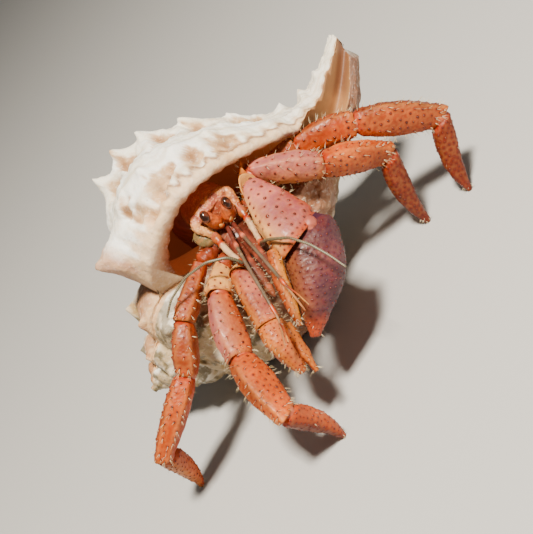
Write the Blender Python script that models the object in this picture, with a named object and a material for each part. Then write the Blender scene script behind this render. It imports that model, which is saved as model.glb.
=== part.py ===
"""Hermit crab, life size and still, in the knobbed sea-snail shell that it wears.

The crab faces -Y, its left side is +X and it stands on the floor at Z = 0.  Every size below is in
millimetres, measured from the point of the floor under the crab's mouth; MM turns it into metres and
MIDDLE moves the origin to the floor under the middle of the whole model.
"""

import math

import bmesh
import bpy
import numpy as np
from mathutils import Vector

MM = 0.001
GAP = 0.3
MIDDLE = Vector((3.7, 14.4, 0.0))

# ---- the shell -------------------------------------------------------------------------------
SHELL_APEX = Vector((-47.0, 27.75, 17.5))
SHELL_AXIS = Vector((0.986, -0.052, 0.159)).normalized()
SHELL_LENGTH = 108.0
LIP_RISE = 60.0           # degrees, how steeply the mouth's outer lip stands above the axis
WHORL_SHRINK = 0.52       # size of each whorl beside the next one
SHOULDER = 38.0           # place of the widest part at the lip, measured from the apex
CANAL_BEND = 11.0         # how far the canal's tip curves up from the axis
CANAL_START = 82.0
SHELL_ROWS = 64           # around one whorl
KNOBS_A_WHORL = 8
# radius of the whorl at the lip, by the distance from the apex
LIP_PROFILE = (
    (26.5, 12.0), (28.0, 20.5), (31.0, 28.0), (35.0, 34.0), (40.0, 38.0), (46.0, 40.5),
    (52.0, 41.0), (58.0, 39.0), (64.0, 35.5), (70.0, 30.5), (76.0, 24.5), (81.0, 18.5),
    (86.0, 12.4), (92.0, 9.3), (100.0, 7.4), (108.0, 5.2),
)
# outline of the hollow at the lip: distance from the apex, distance from the axis
MOUTH_OUTLINE = (
    (34.0, 22.5), (36.5, 28.0), (40.0, 32.5), (45.0, 36.0), (51.0, 38.0), (58.0, 36.5),
    (66.0, 31.0), (74.0, 24.0), (81.0, 16.0), (86.0, 8.5), (80.0, 6.0), (70.0, 8.0),
    (58.0, 10.0), (47.0, 13.0), (39.0, 16.5), (34.5, 19.5),
)

# ---- the limbs: hip, then each joint, then the tip -------------------------------------------
LEG_JOINTS = {
    "leg_right_rear": ((-10.5, 7.0, 42.0), (-23.2, 0.4, 38.2), (-32.5, -3.5, 30.0),
                       (-51.5, -6.0, 20.5), (-54.5, 3.5, 0.0)),
    "leg_right_front": ((-7.5, 5.0, 38.0), (-12.5, -3.0, 37.5), (-20.0, -15.5, 28.5),
                        (-22.0, -32.0, 19.0), (-17.5, -28.5, 0.0)),
    "leg_left_front": ((9.8, 14.5, 40.0), (15.0, 11.5, 46.0), (28.0, 7.0, 36.0),
                       (42.5, 8.0, 23.5), (38.5, 8.0, 0.0)),
    "leg_left_rear": ((11.0, 20.5, 41.5), (27.5, 15.5, 40.0), (42.0, 11.0, 35.0),
                      (59.0, 6.5, 20.0), (51.5, 3.0, 0.0)),
}
LEG_PARTS = ("merus", "carpus", "propodus", "dactyl")

SHELL_WHITE = (0.86, 0.80, 0.70)
SKIN_ROSE = (0.55, 0.22, 0.17)
SKIN_ORANGE = (0.62, 0.19, 0.08)
SKIN_PURPLE = (0.42, 0.17, 0.20)
MOUTH_MAROON = (0.16, 0.04, 0.03)
FEELER_GREY = (0.22, 0.19, 0.13)
EYE_BROWN = (0.03, 0.015, 0.01)


def finish(obj, colour, roughness=0.45):
    """Put an object in the crab's collection with its own material."""
    material = bpy.data.materials.new(obj.name)
    material.use_nodes = True
    surface = material.node_tree.nodes["Principled BSDF"]
    surface.inputs["Base Color"].default_value = (*colour, 1.0)
    surface.inputs["Roughness"].default_value = roughness
    surface.inputs["Metallic"].default_value = 0.0
    obj.data.materials.append(material)
    parts.objects.link(obj)
    return obj


def mesh_from_rings(name, rings):
    """A closed skin over rings of points in millimetres, each ring with as many points."""
    shape = bmesh.new()
    rows = [[shape.verts.new((Vector(point) - MIDDLE) * MM) for point in ring] for ring in rings]
    count = len(rows[0])
    for low, high in zip(rows, rows[1:]):
        for i in range(count):
            j = (i + 1) % count
            shape.faces.new((low[i], low[j], high[j], high[i]))
    shape.faces.new(rows[0][::-1])
    shape.faces.new(rows[-1])
    bmesh.ops.recalc_face_normals(shape, faces=shape.faces)
    mesh = bpy.data.meshes.new(name)
    shape.to_mesh(mesh)
    shape.free()
    return mesh


def oval(centre, side, up, half_width, half_height, count, squareness):
    """A ring of points on an oval; squareness 2 is an ellipse and more is fuller at the corners."""
    ring = []
    for i in range(count):
        angle = 2.0 * math.pi * (i + 0.5) / count
        across = math.copysign(abs(math.cos(angle)) ** (2.0 / squareness), math.cos(angle))
        along = math.copysign(abs(math.sin(angle)) ** (2.0 / squareness), math.sin(angle))
        ring.append(centre + side * half_width * across + up * half_height * along)
    return ring


def limb(name, start, end, side, stations, colour, start_cut=None, end_cut=None, count=10,
         squareness=2.4):
    """One hard segment of a limb, lofted from start to end.

    A station is (share of the length, half width, half height, rise): the width lies along side,
    and the rise is how far the middle is lifted across the length.  A fifth value shifts the middle
    along side.  A cut is (point, direction): the end ring is slid along the segment onto the plane
    there, so that two segments meet on it.
    """
    start = Vector(start)
    end = Vector(end)
    axis = (end - start).normalized()
    side = (side - axis * side.dot(axis)).normalized()
    up = side.cross(axis)
    if up.z < 0.0:
        up = -up
    length = (end - start).length
    rings = []
    for share, half_width, half_height, rise, *shift in stations:
        centre = start + axis * length * share + up * rise + side * sum(shift)
        ring = oval(centre, side, up, half_width, half_height, count, squareness)
        for cut, weight in ((start_cut, 1.0 - share / 0.45), (end_cut, (share - 0.55) / 0.45)):
            if cut is None or weight <= 0.0:
                continue
            point, facing = cut
            moved = []
            for place in ring:
                from_middle = place - centre
                slide = -from_middle.dot(facing) / axis.dot(facing)
                if share == 0.0 or share == 1.0:
                    slide = (point - place).dot(facing) / axis.dot(facing)
                moved.append(place + axis * slide * weight)
            ring = moved
        rings.append(ring)
    mesh = mesh_from_rings(name, rings)
    return finish(bpy.data.objects.new(name, mesh), colour)


def joint_cuts(before, joint, after, facing=None):
    """Two planes across a joint, half a gap to each side of it, for the segments that meet there."""
    before, joint, after = Vector(before), Vector(joint), Vector(after)
    if facing is None:
        facing = ((joint - before).normalized() + (after - joint).normalized()).normalized()
    return (joint - facing * GAP / 2, facing), (joint + facing * GAP / 2, facing)


def feeler(name, points, thickness, colour):
    """A thin round rod through the points, tapering to its tip."""
    curve = bpy.data.curves.new(name, "CURVE")
    curve.dimensions = "3D"
    curve.bevel_depth = thickness / 2 * MM
    curve.bevel_resolution = 1
    curve.use_fill_caps = True
    curve.resolution_u = 3
    spline = curve.splines.new("BEZIER")
    spline.bezier_points.add(len(points) - 1)
    for i, point in enumerate(points):
        knot = spline.bezier_points[i]
        knot.co = (Vector(point) - MIDDLE) * MM
        knot.handle_left_type = "AUTO"
        knot.handle_right_type = "AUTO"
        knot.radius = 1.0 - 0.3 * i / (len(points) - 1)
    return finish(bpy.data.objects.new(name, curve), colour)


# ---- shell ------------------------------------------------------------------------------------
def smooth_step(value, low, high):
    share = np.clip((value - low) / (high - low), 0.0, 1.0)
    return share * share * (3.0 - 2.0 * share)


def profile_place(size, place):
    """Where a place on the body whorl lies on the lip's profile, for the whorl's size there."""
    shoulder = SHOULDER * size
    beyond = SHOULDER + (place - shoulder) * (SHELL_LENGTH - SHOULDER) / (SHELL_LENGTH - shoulder)
    return np.where(place < shoulder, place / size, beyond)


def whorl_radius(turn, place, whorl):
    """Radius of one whorl; turn runs from -1 to 0 at the lip and place from the apex."""
    lip_places, lip_radii = zip(*LIP_PROFILE)
    size = WHORL_SHRINK ** (whorl - turn)
    if whorl > 0:
        at = place / size
        radius = np.interp(at, lip_places, lip_radii, left=0.0) * size
        return np.where(at > 1.5 * SHOULDER, 0.0, radius)
    at = profile_place(size, place)
    forward = np.clip((at - SHOULDER) / (SHELL_LENGTH - SHOULDER), 0.0, 1.0)
    radius = np.interp(at, lip_places, lip_radii, left=0.0) * size ** (1.0 - forward)
    swelling = np.exp(-(((turn + 0.20) / 0.125) ** 2))
    radius = radius * (1.0 + 0.13 * swelling * smooth_step(at, 24, 34) * (1 - smooth_step(at, 70, 84)))
    worn_below = np.exp(-(((turn + 0.62) / 0.14) ** 2))
    return radius * (1.0 - 0.15 * worn_below)


def shell_radius(turn, place):
    """Radius of the whole shell, with the hollow of the inner lip beside the mouth."""
    radius = 1.0 + 0.03 * place
    for whorl in range(5):
        radius = np.maximum(radius, whorl_radius(turn, place, whorl))
    waist = np.exp(-(((turn + 0.69) / 0.14) ** 2))
    waist = waist * smooth_step(place, 54.0, 68.0) * (1.0 - smooth_step(place, 90.0, 100.0))
    radius = radius * (1.0 - 0.44 * waist)
    beside_mouth = 1.0 - smooth_step(turn, -1.0, -0.79)
    along_mouth = smooth_step(place, 27.0, 42.0) * (1.0 - smooth_step(place, 78.0, 88.0))
    return radius * (1.0 - 0.5 * beside_mouth * along_mouth)


def shell_frame():
    """The axis, the direction of the lip and the one a quarter turn back from it."""
    axis = np.array(SHELL_AXIS)
    rise = math.radians(LIP_RISE)
    lip = np.array((0.0, -math.cos(rise), math.sin(rise)))
    lip = lip - axis * lip.dot(axis)
    lip = lip / np.linalg.norm(lip)
    return axis, lip, np.cross(lip, axis)


def shell_point(turn, place, radius):
    """Position in millimetres of a point given about the shell's own axis."""
    axis, lip, back = shell_frame()
    angle = np.asarray(turn, float)[..., None] * 2.0 * math.pi
    place = np.asarray(place, float)[..., None]
    radius = np.asarray(radius, float)[..., None]
    outward = np.cos(angle) * lip - np.sin(angle) * back
    dorsal = math.cos(1.0) * lip + math.sin(1.0) * back
    bend = CANAL_BEND * (np.clip(place - CANAL_START, 0.0, None) / (SHELL_LENGTH - CANAL_START)) ** 1.5
    return np.array(SHELL_APEX) + axis * place + outward * radius + dorsal * bend


def shell_knobs():
    """Knobs and spines: turn, place at the lip's scale, height, width, backward lean in degrees."""
    knobs = [(-3 / 64, 33.0, 15.5, 4.6, 52.0)]
    for i in range(1, 22):
        turn = -1 / 64 - i / KNOBS_A_WHORL
        knobs.append((turn, 35.0, 1.5 if i == 1 else 6.5, 4.2, 30.0))
        if i < 8:
            for place, height in ((44.0, 4.6), (52.0, 4.4), (60.5, 3.8), (69.5, 3.2), (78.0, 3.2)):
                knobs.append((turn, place, height, 3.8, 5.0))
    return knobs


def shell_surface(turn, place):
    """Points of the shell's outer surface, knobs included, flat where it lies on the floor."""
    axis, lip, back = shell_frame()
    smooth = shell_point(turn, place, shell_radius(turn, place))
    knobbed = smooth.copy()
    for knob_turn, lip_place, height, width, lean in shell_knobs():
        size = WHORL_SHRINK ** -knob_turn
        here = lip_place * size
        if lip_place > SHOULDER:
            reach = (lip_place - SHOULDER) / (SHELL_LENGTH - SHOULDER)
            here = SHOULDER * size + reach * (SHELL_LENGTH - SHOULDER * size)
        around = knob_turn - math.floor(knob_turn) - 1.0
        angle = around * 2.0 * math.pi
        outward = math.cos(angle) * lip - math.sin(angle) * back
        top = shell_point(around, here, shell_radius(np.float64(around), np.float64(here)))
        lean = math.radians(lean)
        growth = math.cos(lean) * outward - math.sin(lean) * axis
        scale = max(size, 0.2)
        worn = 1.0 - 0.6 * math.exp(-(((around + 0.62) / 0.17) ** 2))
        distance = np.linalg.norm(smooth - top, axis=-1) / (width * scale)
        swell = height * scale * worn * np.exp(-(distance ** 1.6))
        swell = np.where(np.abs(turn - around) < 0.3, swell, 0.0)
        knobbed = knobbed + swell[..., None] * growth
    knobbed[..., 2] = np.maximum(knobbed[..., 2], 0.0)
    return knobbed


def make_shell():
    """The shell: one surface about its axis, with the mouth and the canal's slot cut into it."""
    turns = np.linspace(-1.0, 0.0, SHELL_ROWS + 1)
    places = np.array((0.6, 3, 6, 9, 12, 15, 18, 20.5, 23, 25, 27, 28.7, 30.5, 33.5, 37, 40, 43, 46.5,
                       50, 53, 56, 59, 62, 65.5, 69, 73, 78, 83, 88, 94, 101, 108))
    grid_turns, grid_places = np.meshgrid(turns, places, indexing="ij")
    surface = shell_surface(grid_turns, grid_places)
    rings = [surface[:, i] for i in range(len(places))]
    shell = bpy.data.objects.new("shell", mesh_from_rings("shell", rings))
    finish(shell, SHELL_WHITE, 0.6)

    rings = []
    for turn in np.linspace(0.03, -0.42, 11):
        size = WHORL_SHRINK ** -min(turn, 0.0)
        outline = np.array(MOUTH_OUTLINE) * size
        rings.append(shell_point(np.full(len(outline), turn), outline[:, 0], outline[:, 1]))
    hollow = bpy.data.objects.new("hollow_of_mouth", mesh_from_rings("hollow_of_mouth", rings))

    rings = []
    for place in np.linspace(76.0, SHELL_LENGTH + 2.0, 8):
        corners = ((0.015, 1.6), (0.015, 16.0), (0.10, 16.0), (0.10, 1.6))
        rings.append([shell_point(turn, place, radius) for turn, radius in corners])
    slot = bpy.data.objects.new("hollow_of_canal", mesh_from_rings("hollow_of_canal", rings))

    for cutter in (hollow, slot):
        cutters.objects.link(cutter)
        cutter.hide_render = True
        cutter.display_type = "WIRE"
        cut = shell.modifiers.new(cutter.name, "BOOLEAN")
        cut.operation = "DIFFERENCE"
        cut.solver = "EXACT"
        cut.object = cutter


# ---- body -------------------------------------------------------------------------------------
def tube(name, centres, half_widths, half_heights, side, colour, count=12, squareness=2.3):
    """A soft form through a row of centres, with its width along side."""
    centres = [Vector(centre) for centre in centres]
    rings = []
    for i, centre in enumerate(centres):
        tangent = centres[min(i + 1, len(centres) - 1)] - centres[max(i - 1, 0)]
        tangent.normalize()
        across = (side - tangent * side.dot(tangent)).normalized()
        up = across.cross(tangent)
        rings.append(oval(centre, across, up, half_widths[i], half_heights[i], count, squareness))
    mesh = mesh_from_rings(name, rings)
    return finish(bpy.data.objects.new(name, mesh), colour)


HEAD_SIDE = Vector((0.966, 0.0, -0.259))


def make_body():
    """Shield of the head and thorax, and the soft abdomen coiled back into the shell."""
    tube("thorax",
         ((1.5, 8.3, 46.6), (1.5, 9.1, 46.7), (1.7, 11.5, 46.5), (1.7, 16.0, 46.2), (0.8, 21.0, 46.2),
          (-0.2, 24.0, 46.2)),
         (4.6, 5.6, 6.2, 6.5, 6.6, 6.2), (3.9, 4.9, 5.7, 6.4, 6.8, 6.4), HEAD_SIDE, SKIN_ROSE, 14)
    centres = []
    for turn in (-0.115, -0.14, -0.17, -0.21, -0.25, -0.29, -0.33, -0.365):
        size = WHORL_SHRINK ** -turn
        centres.append(shell_point(turn, 53.0 * size, 22.0 * size))
    tube("abdomen", centres, (6.6, 7.6, 7.8, 7.6, 7.0, 6.2, 5.0, 2.6),
         (6.2, 7.0, 7.2, 7.0, 6.4, 5.4, 4.2, 2.0), Vector((1.0, 0.0, 0.2)), SKIN_PURPLE, 12)


def make_head():
    """Eyes on their stalks, feelers and the outer mouthparts."""
    for name, root, tip in (("right", (-0.4, 6.2, 46.4), (-1.0, 4.9, 50.2)),
                            ("left", (3.4, 5.6, 45.6), (5.1, 4.4, 48.6))):
        limb("eyestalk_" + name, root, tip, HEAD_SIDE,
             ((0.0, 1.3, 1.2, 0.0), (0.3, 1.5, 1.4, 0.0), (0.75, 1.35, 1.3, 0.0), (1.0, 1.1, 1.1, 0.0)),
             SKIN_ORANGE, count=10)
        tip = Vector(tip)
        direction = (tip - Vector(root)).normalized()
        facing = (direction + Vector((0.0, -0.6, 0.2))).normalized()
        start = tip + direction * GAP
        limb("cornea_" + name, start, start + facing * 2.0, HEAD_SIDE,
             ((0.0, 0.9, 0.9, 0.0), (0.2, 1.25, 1.3, 0.0), (0.6, 1.2, 1.25, 0.0), (0.9, 0.75, 0.8, 0.0),
              (1.0, 0.35, 0.35, 0.0)), EYE_BROWN, start_cut=(start, direction), count=10,
             squareness=2.0)
    limb("antenna_base_left", (6.4, 5.6, 44.2), (3.2, -5.2, 38.6), HEAD_SIDE,
         ((0.0, 1.1, 1.2, 0.0), (0.2, 1.4, 1.5, 0.0), (0.45, 1.1, 1.1, 0.3), (0.6, 0.95, 1.0, 0.2),
          (0.95, 0.9, 0.95, 0.0), (1.0, 0.6, 0.7, 0.0)), SKIN_ORANGE, count=8)
    limb("antenna_base_right", (-3.2, 5.8, 45.0), (-3.2, -6.6, 39.6), HEAD_SIDE,
         ((0.0, 1.1, 1.2, 0.0), (0.2, 1.4, 1.5, 0.0), (0.45, 1.1, 1.1, 0.3), (0.6, 0.95, 1.0, 0.2),
          (0.95, 0.9, 0.95, 0.0), (1.0, 0.6, 0.7, 0.0)), SKIN_ORANGE, count=8)
    feeler("antenna_left", ((3.2, -6.2, 39.5), (5.0, -11.0, 41.5), (8.5, -17.5, 41.0), (10.5, -22.0, 38.0),
                            (11.5, -26.0, 34.5), (12.0, -29.5, 31.0)), 0.75, FEELER_GREY)
    feeler("antenna_right", ((-3.0, -7.4, 40.6), (-4.5, -6.5, 44.0), (-9.0, -4.5, 46.5),
                             (-15.0, -2.5, 47.0), (-21.5, -2.0, 45.5), (-25.5, -2.0, 43.0)),
           0.75, FEELER_GREY)
    feeler("antennule_left", ((2.6, 4.4, 44.0), (2.0, 0.0, 43.5), (1.0, -11.5, 39.5),
                              (0.0, -21.5, 36.5), (-1.5, -26.5, 29.5)), 1.0, SKIN_ORANGE)
    feeler("antennule_right", ((1.0, 4.4, 44.4), (-0.5, 0.0, 43.0), (-2.5, -9.0, 41.0),
                               (-5.5, -21.0, 36.0), (-7.0, -25.0, 32.5), (-11.0, -27.5, 27.5)),
           1.0, SKIN_ORANGE)
    for name, root, tip in (("left", (2.2, 5.2, 40.2), (-0.2, -9.5, 27.5)),
                            ("right", (-0.8, 5.2, 40.8), (-4.0, -9.5, 28.5))):
        limb("maxilliped_" + name, root, tip, Vector((1.0, 0.0, -0.2)),
             ((0.0, 1.0, 1.4, 0.0), (0.15, 1.2, 1.7, 0.5), (0.5, 1.2, 1.7, 1.2), (0.8, 1.0, 1.4, 0.8),
              (1.0, 0.6, 0.8, 0.0)), MOUTH_MAROON, count=8)


# ---- claws ------------------------------------------------------------------------------------
def claw(name, joints, across, shapes, colours, wrist_facing=None):
    """Merus, carpus and palm of a claw, from its hip, elbow, wrist and fingertip."""
    cuts = [joint_cuts(*joints[:3]), joint_cuts(*joints[1:], wrist_facing)]
    for i, part in enumerate(("merus", "carpus", "palm")):
        limb(name + "_" + part, joints[i], joints[i + 1], across, shapes[i], colours[i],
             start_cut=cuts[i - 1][1] if i > 0 else None, end_cut=cuts[i][0] if i < 2 else None,
             count=14 if part == "palm" else 12)


def make_claws():
    """The large left claw hangs before the mouth, the small right one beside it, fingers down."""
    across = Vector((0.9, 0.1, -0.4))
    claw("claw_left", ((7.5, 6.0, 37.0), (11.5, 6.0, 44.5), (10.5, -9.5, 35.0), (-4.5, -21.0, 20.0)),
         across,
         (((0.0, 1.6, 1.6, 0.0), (0.3, 2.0, 2.0, 0.0), (0.8, 2.6, 2.4, 0.0), (1.0, 2.8, 2.6, 0.0)),
          ((0.0, 2.6, 2.4, 0.0), (0.15, 3.8, 3.2, 0.4), (0.45, 5.8, 4.6, 0.8), (0.8, 6.8, 5.2, 0.6),
           (1.0, 6.4, 5.0, 0.0)),
          ((0.0, 4.6, 4.5, 0.0, 0.4), (0.12, 6.8, 5.8, 0.3, 2.6), (0.36, 6.9, 6.3, 0.6, 3.3),
           (0.58, 5.8, 5.6, 0.5, 2.5), (0.75, 3.9, 4.2, 0.2, 1.4), (0.88, 2.4, 2.8, 0.0, 0.7),
           (1.0, 0.9, 1.0, 0.0, 0.0))),
         (SKIN_ROSE, SKIN_ROSE, SKIN_PURPLE), Vector((0.10, -0.51, -0.855)))
    limb("claw_left_finger", (3.6, -9.6, 38.2), (-4.9, -20.2, 24.6), across,
         ((0.0, 0.8, 1.4, 0.0), (0.1, 1.1, 2.0, 0.0), (0.4, 1.2, 2.1, 0.0, -0.9),
          (0.75, 1.0, 1.6, 0.0, -0.5), (1.0, 0.5, 0.6, 0.0)), SKIN_ORANGE, count=8)
    across = Vector((0.85, 0.2, -0.45))
    claw("claw_right", ((-3.9, 4.5, 34.8), (-5.8, -3.2, 37.4), (-9.8, -15.0, 28.8), (-12.6, -24.5, 18.0)),
         across,
         (((0.0, 1.2, 1.2, 0.0), (0.3, 1.4, 1.3, 0.0), (0.8, 1.9, 1.8, 0.0), (1.0, 2.2, 2.0, 0.0)),
          ((0.0, 2.0, 2.0, 0.0), (0.12, 2.4, 2.4, 0.3), (0.5, 2.9, 2.8, 0.5), (0.9, 3.1, 3.0, 0.3),
           (1.0, 3.0, 2.8, 0.0)),
          ((0.0, 2.8, 2.6, 0.0), (0.15, 3.2, 3.0, 0.2, -0.2), (0.38, 2.9, 3.0, 0.3, -0.7),
           (0.65, 2.1, 2.4, 0.2, -0.8), (0.88, 1.4, 1.5, 0.0, -0.3), (1.0, 0.7, 0.7, 0.0))),
         (SKIN_ORANGE, SKIN_ROSE, SKIN_ORANGE))
    limb("claw_right_finger", (-6.4, -18.2, 26.2), (-9.8, -26.4, 16.6), across,
         ((0.0, 0.8, 1.0, 0.0), (0.15, 1.1, 1.5, 0.0), (0.6, 1.0, 1.2, 0.0, 0.3), (1.0, 0.5, 0.5, 0.0)),
         SKIN_ORANGE, count=8)


# ---- walking legs -----------------------------------------------------------------------------
# stations of the four segments, the same for every leg
MERUS = ((0.0, 1.8, 2.0, 0.0), (0.25, 2.2, 2.5, 0.0), (0.7, 2.8, 3.3, 0.0), (0.94, 3.1, 3.7, 0.0),
         (1.0, 3.0, 3.6, 0.0))
CARPUS = ((0.0, 2.0, 2.4, 0.0), (0.12, 2.6, 3.0, 0.3), (0.4, 3.2, 3.7, 0.6), (0.75, 3.4, 3.9, 0.4),
          (0.95, 3.3, 3.8, 0.0), (1.0, 3.2, 3.6, 0.0))
PROPODUS = ((0.0, 2.4, 2.8, 0.0), (0.1, 3.0, 3.5, 0.2), (0.35, 3.3, 4.2, 0.5), (0.65, 3.2, 4.1, 0.5),
            (0.92, 2.8, 3.4, 0.1), (1.0, 2.6, 3.2, 0.0))
DACTYL = ((0.0, 2.0, 2.4, 0.0), (0.08, 2.5, 3.0, 0.0), (0.3, 2.4, 3.0, 0.6), (0.6, 1.8, 2.4, 1.2),
          (0.82, 1.2, 1.5, 0.9), (0.95, 0.7, 0.9, 0.3), (1.0, 0.55, 0.6, 0.0))


def make_legs():
    """Four walking legs of four hard segments, each leg bent in one plane."""
    on_floor = (Vector((0.0, 0.0, 0.0)), Vector((0.0, 0.0, 1.0)))
    for leg, joints in LEG_JOINTS.items():
        joints = [Vector(joint) for joint in joints]
        plane = (joints[2] - joints[1]).cross(joints[4] - joints[2]).normalized()
        cuts = [joint_cuts(*joints[i - 1:i + 2]) for i in range(1, 4)]
        shapes = (MERUS, CARPUS, PROPODUS, DACTYL)
        colours = (SKIN_ORANGE, SKIN_ROSE, SKIN_ORANGE, SKIN_ORANGE)
        for i, part in enumerate(LEG_PARTS):
            limb(leg + "_" + part, joints[i], joints[i + 1], plane, shapes[i], colours[i],
                 start_cut=cuts[i - 1][1] if i > 0 else None,
                 end_cut=cuts[i][0] if i < 3 else on_floor)


for old in list(bpy.data.objects):
    bpy.data.objects.remove(old)
parts = bpy.data.collections.new("hermit_crab")
cutters = bpy.data.collections.new("cutters")
bpy.context.scene.collection.children.link(parts)
bpy.context.scene.collection.children.link(cutters)
make_shell()
make_body()
make_head()
make_claws()
make_legs()
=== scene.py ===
import itertools
import math
import random

import bmesh
import bpy
import numpy as np
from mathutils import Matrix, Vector, noise


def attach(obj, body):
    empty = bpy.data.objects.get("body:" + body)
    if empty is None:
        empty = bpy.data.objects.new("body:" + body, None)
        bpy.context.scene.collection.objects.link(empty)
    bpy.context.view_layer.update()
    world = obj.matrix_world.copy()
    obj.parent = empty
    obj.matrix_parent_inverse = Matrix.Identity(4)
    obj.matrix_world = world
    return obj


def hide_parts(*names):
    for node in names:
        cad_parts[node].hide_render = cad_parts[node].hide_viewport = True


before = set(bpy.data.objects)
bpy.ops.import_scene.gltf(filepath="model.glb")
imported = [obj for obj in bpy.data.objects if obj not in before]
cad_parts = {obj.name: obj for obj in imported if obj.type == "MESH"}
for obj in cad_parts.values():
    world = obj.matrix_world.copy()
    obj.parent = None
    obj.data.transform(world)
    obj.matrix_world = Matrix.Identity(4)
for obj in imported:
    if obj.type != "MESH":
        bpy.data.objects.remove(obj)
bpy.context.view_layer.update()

# ---- SHELL -------------------------------------------------------------------------------------
# A right-handed, spindle-shaped sea-snail shell 108 mm long, chalky with age.  It grows as one tube
# wound about its axis: each point has a turn (0 at the lip, falling back to the apex) and a place
# along the axis.  The knobs stand in rows across the whorl, each with a hollow before it.
MM = 0.001
MIDDLE = np.array((3.7, 14.4, 0.0))
APEX = np.array((-47.0, 27.75, 17.5))
AXIS = np.array(Vector((0.986, -0.052, 0.159)).normalized())
LENGTH = 108.0
SHOULDER = 38.0
SHRINK = 0.52
CANAL_START = 82.0
CANAL_BEND = 11.0
KNOBS_A_WHORL = 8
FIRST_ROW = -1 / 64
TURN_STEPS = 401
PLACE_STEPS = 224
TRIAL_STEPS = 1400
PROFILE = ((26.5, 12.0), (28.0, 20.5), (31.0, 28.0), (35.0, 34.0), (40.0, 38.0), (46.0, 40.5),
           (52.0, 41.0), (58.0, 39.0), (64.0, 35.5), (70.0, 30.5), (76.0, 24.5), (81.0, 18.5),
           (86.0, 12.4), (92.0, 9.3), (100.0, 7.4), (108.0, 5.2))
MOUTH = ((34.0, 22.5), (36.5, 28.0), (40.0, 32.5), (45.0, 36.0), (51.0, 38.0), (58.0, 36.5),
         (66.0, 31.0), (74.0, 24.0), (81.0, 16.0), (86.0, 8.5), (80.0, 6.0), (70.0, 8.0),
         (58.0, 10.0), (47.0, 13.0), (39.0, 16.5), (34.5, 19.5))

LIP = np.array((0.0, -math.cos(math.radians(60)), math.sin(math.radians(60))))
LIP = LIP - AXIS * LIP.dot(AXIS)
LIP /= np.linalg.norm(LIP)
BACK = np.cross(LIP, AXIS)
DORSAL = math.cos(1.0) * LIP + math.sin(1.0) * BACK


def ease(value, low, high):
    share = np.clip((value - low) / (high - low), 0.0, 1.0)
    return share * share * (3.0 - 2.0 * share)


def bell(value, middle, width):
    return np.exp(-(((value - middle) / width) ** 2))


def softened(pairs, step=0.25, spread=1.1):
    """A table of pairs as a smooth curve, sampled finely."""
    at, value = np.array(pairs).T
    fine = np.arange(at[0] - 6.0, at[-1] + 6.0, step)
    rough = np.interp(fine, at, value)
    window = np.arange(-4.0 * spread, 4.0 * spread + step, step)
    weight = np.exp(-0.5 * (window / spread) ** 2)
    smooth = np.convolve(rough, weight / weight.sum(), mode="same")
    return fine, np.where((fine < at[0] + 5.0) | (fine > at[-1] - 1.0), rough, smooth)


PROFILE_PLACES, PROFILE_RADII = softened(PROFILE)


def at_the_lip(turn, place):
    """Where a place on the body whorl would be if the whorl had its full size."""
    shoulder = SHOULDER * SHRINK ** -turn
    beyond = SHOULDER + (place - shoulder) * (LENGTH - SHOULDER) / (LENGTH - shoulder)
    return np.where(place < shoulder, place * SHRINK ** turn, beyond)


def plain_radius(turn, place):
    radius = 1.0 + 0.03 * place
    for whorl in range(5):
        size = SHRINK ** (whorl - turn)
        if whorl:
            at = place / size
            one = np.interp(at, PROFILE_PLACES, PROFILE_RADII, left=0.0) * size
            one = np.where((at > 1.5 * SHOULDER) | (at < 26.5), 0.0, one)
        else:
            at = at_the_lip(turn, place)
            forward = np.clip((at - SHOULDER) / (LENGTH - SHOULDER), 0.0, 1.0)
            one = np.interp(at, PROFILE_PLACES, PROFILE_RADII, left=0.0) * size ** (1.0 - forward)
            one = np.where(at < 26.5, 0.0, one)
            one = one * (1.0 + 0.13 * bell(turn, -0.20, 0.125) * ease(at, 24, 34) * (1 - ease(at, 70, 84)))
            one = one * (1.0 - 0.15 * bell(turn, -0.62, 0.14))
        radius = np.maximum(radius, one)
    beside_mouth = 1.0 - ease(turn, -1.0, -0.79)
    waist = bell(turn, -0.69, 0.14) * ease(place, 54.0, 68.0) * (1.0 - ease(place, 90.0, 100.0))
    radius = radius * (1.0 - 0.44 * waist)
    return radius * (1.0 - 0.5 * beside_mouth * ease(place, 27.0, 42.0) * (1.0 - ease(place, 78.0, 88.0)))


def canal_bend(place):
    """How far the tip of the shell curves from the axis towards the back."""
    return CANAL_BEND * (np.clip(place - CANAL_START, 0.0, None) / (LENGTH - CANAL_START)) ** 1.5


def on_shell(turn, place, radius):
    """The point at a turn, a place along the axis and a distance from it."""
    angle = np.asarray(turn, float)[..., None] * 2.0 * math.pi
    place = np.asarray(place, float)[..., None]
    outward = np.cos(angle) * LIP - np.sin(angle) * BACK
    outward = outward * np.asarray(radius, float)[..., None]
    return APEX + AXIS * place + outward + DORSAL * canal_bend(place)


# knobs: turn, place at the lip's scale, height, half width along the axis, half width around, lean back
KNOBS = [(-0.047, 33.0, 11.8, 4.8, 5.4, 44.0), (-0.05, 44.0, 3.6, 2.8, 3.6, 8.0),
         (-0.052, 52.0, 3.2, 2.8, 3.6, 5.0), (-0.052, 60.5, 2.8, 2.8, 3.6, 5.0),
         (-0.055, 69.5, 2.0, 2.6, 3.4, 5.0)]
for row in range(1, 22):
    row_turn = FIRST_ROW - row / KNOBS_A_WHORL
    KNOBS.append((row_turn, 35.0, 1.5 if row == 1 else 7.6, 3.8, 4.6, 30.0))
    if row < KNOBS_A_WHORL:
        for row_place, row_height in ((44.0, 6.8), (52.0, 6.4), (60.5, 5.8), (69.5, 4.6), (78.0, 4.4)):
            KNOBS.append((row_turn, row_place, row_height, 2.7, 3.4, 10.0))
        for row_place, row_height in ((38.5, 4.4), (48.0, 4.8), (56.0, 4.6), (65.0, 4.0), (74.0, 3.0)):
            KNOBS.append((row_turn - 0.5 / KNOBS_A_WHORL, row_place, row_height, 2.5, 3.2, 12.0))
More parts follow.
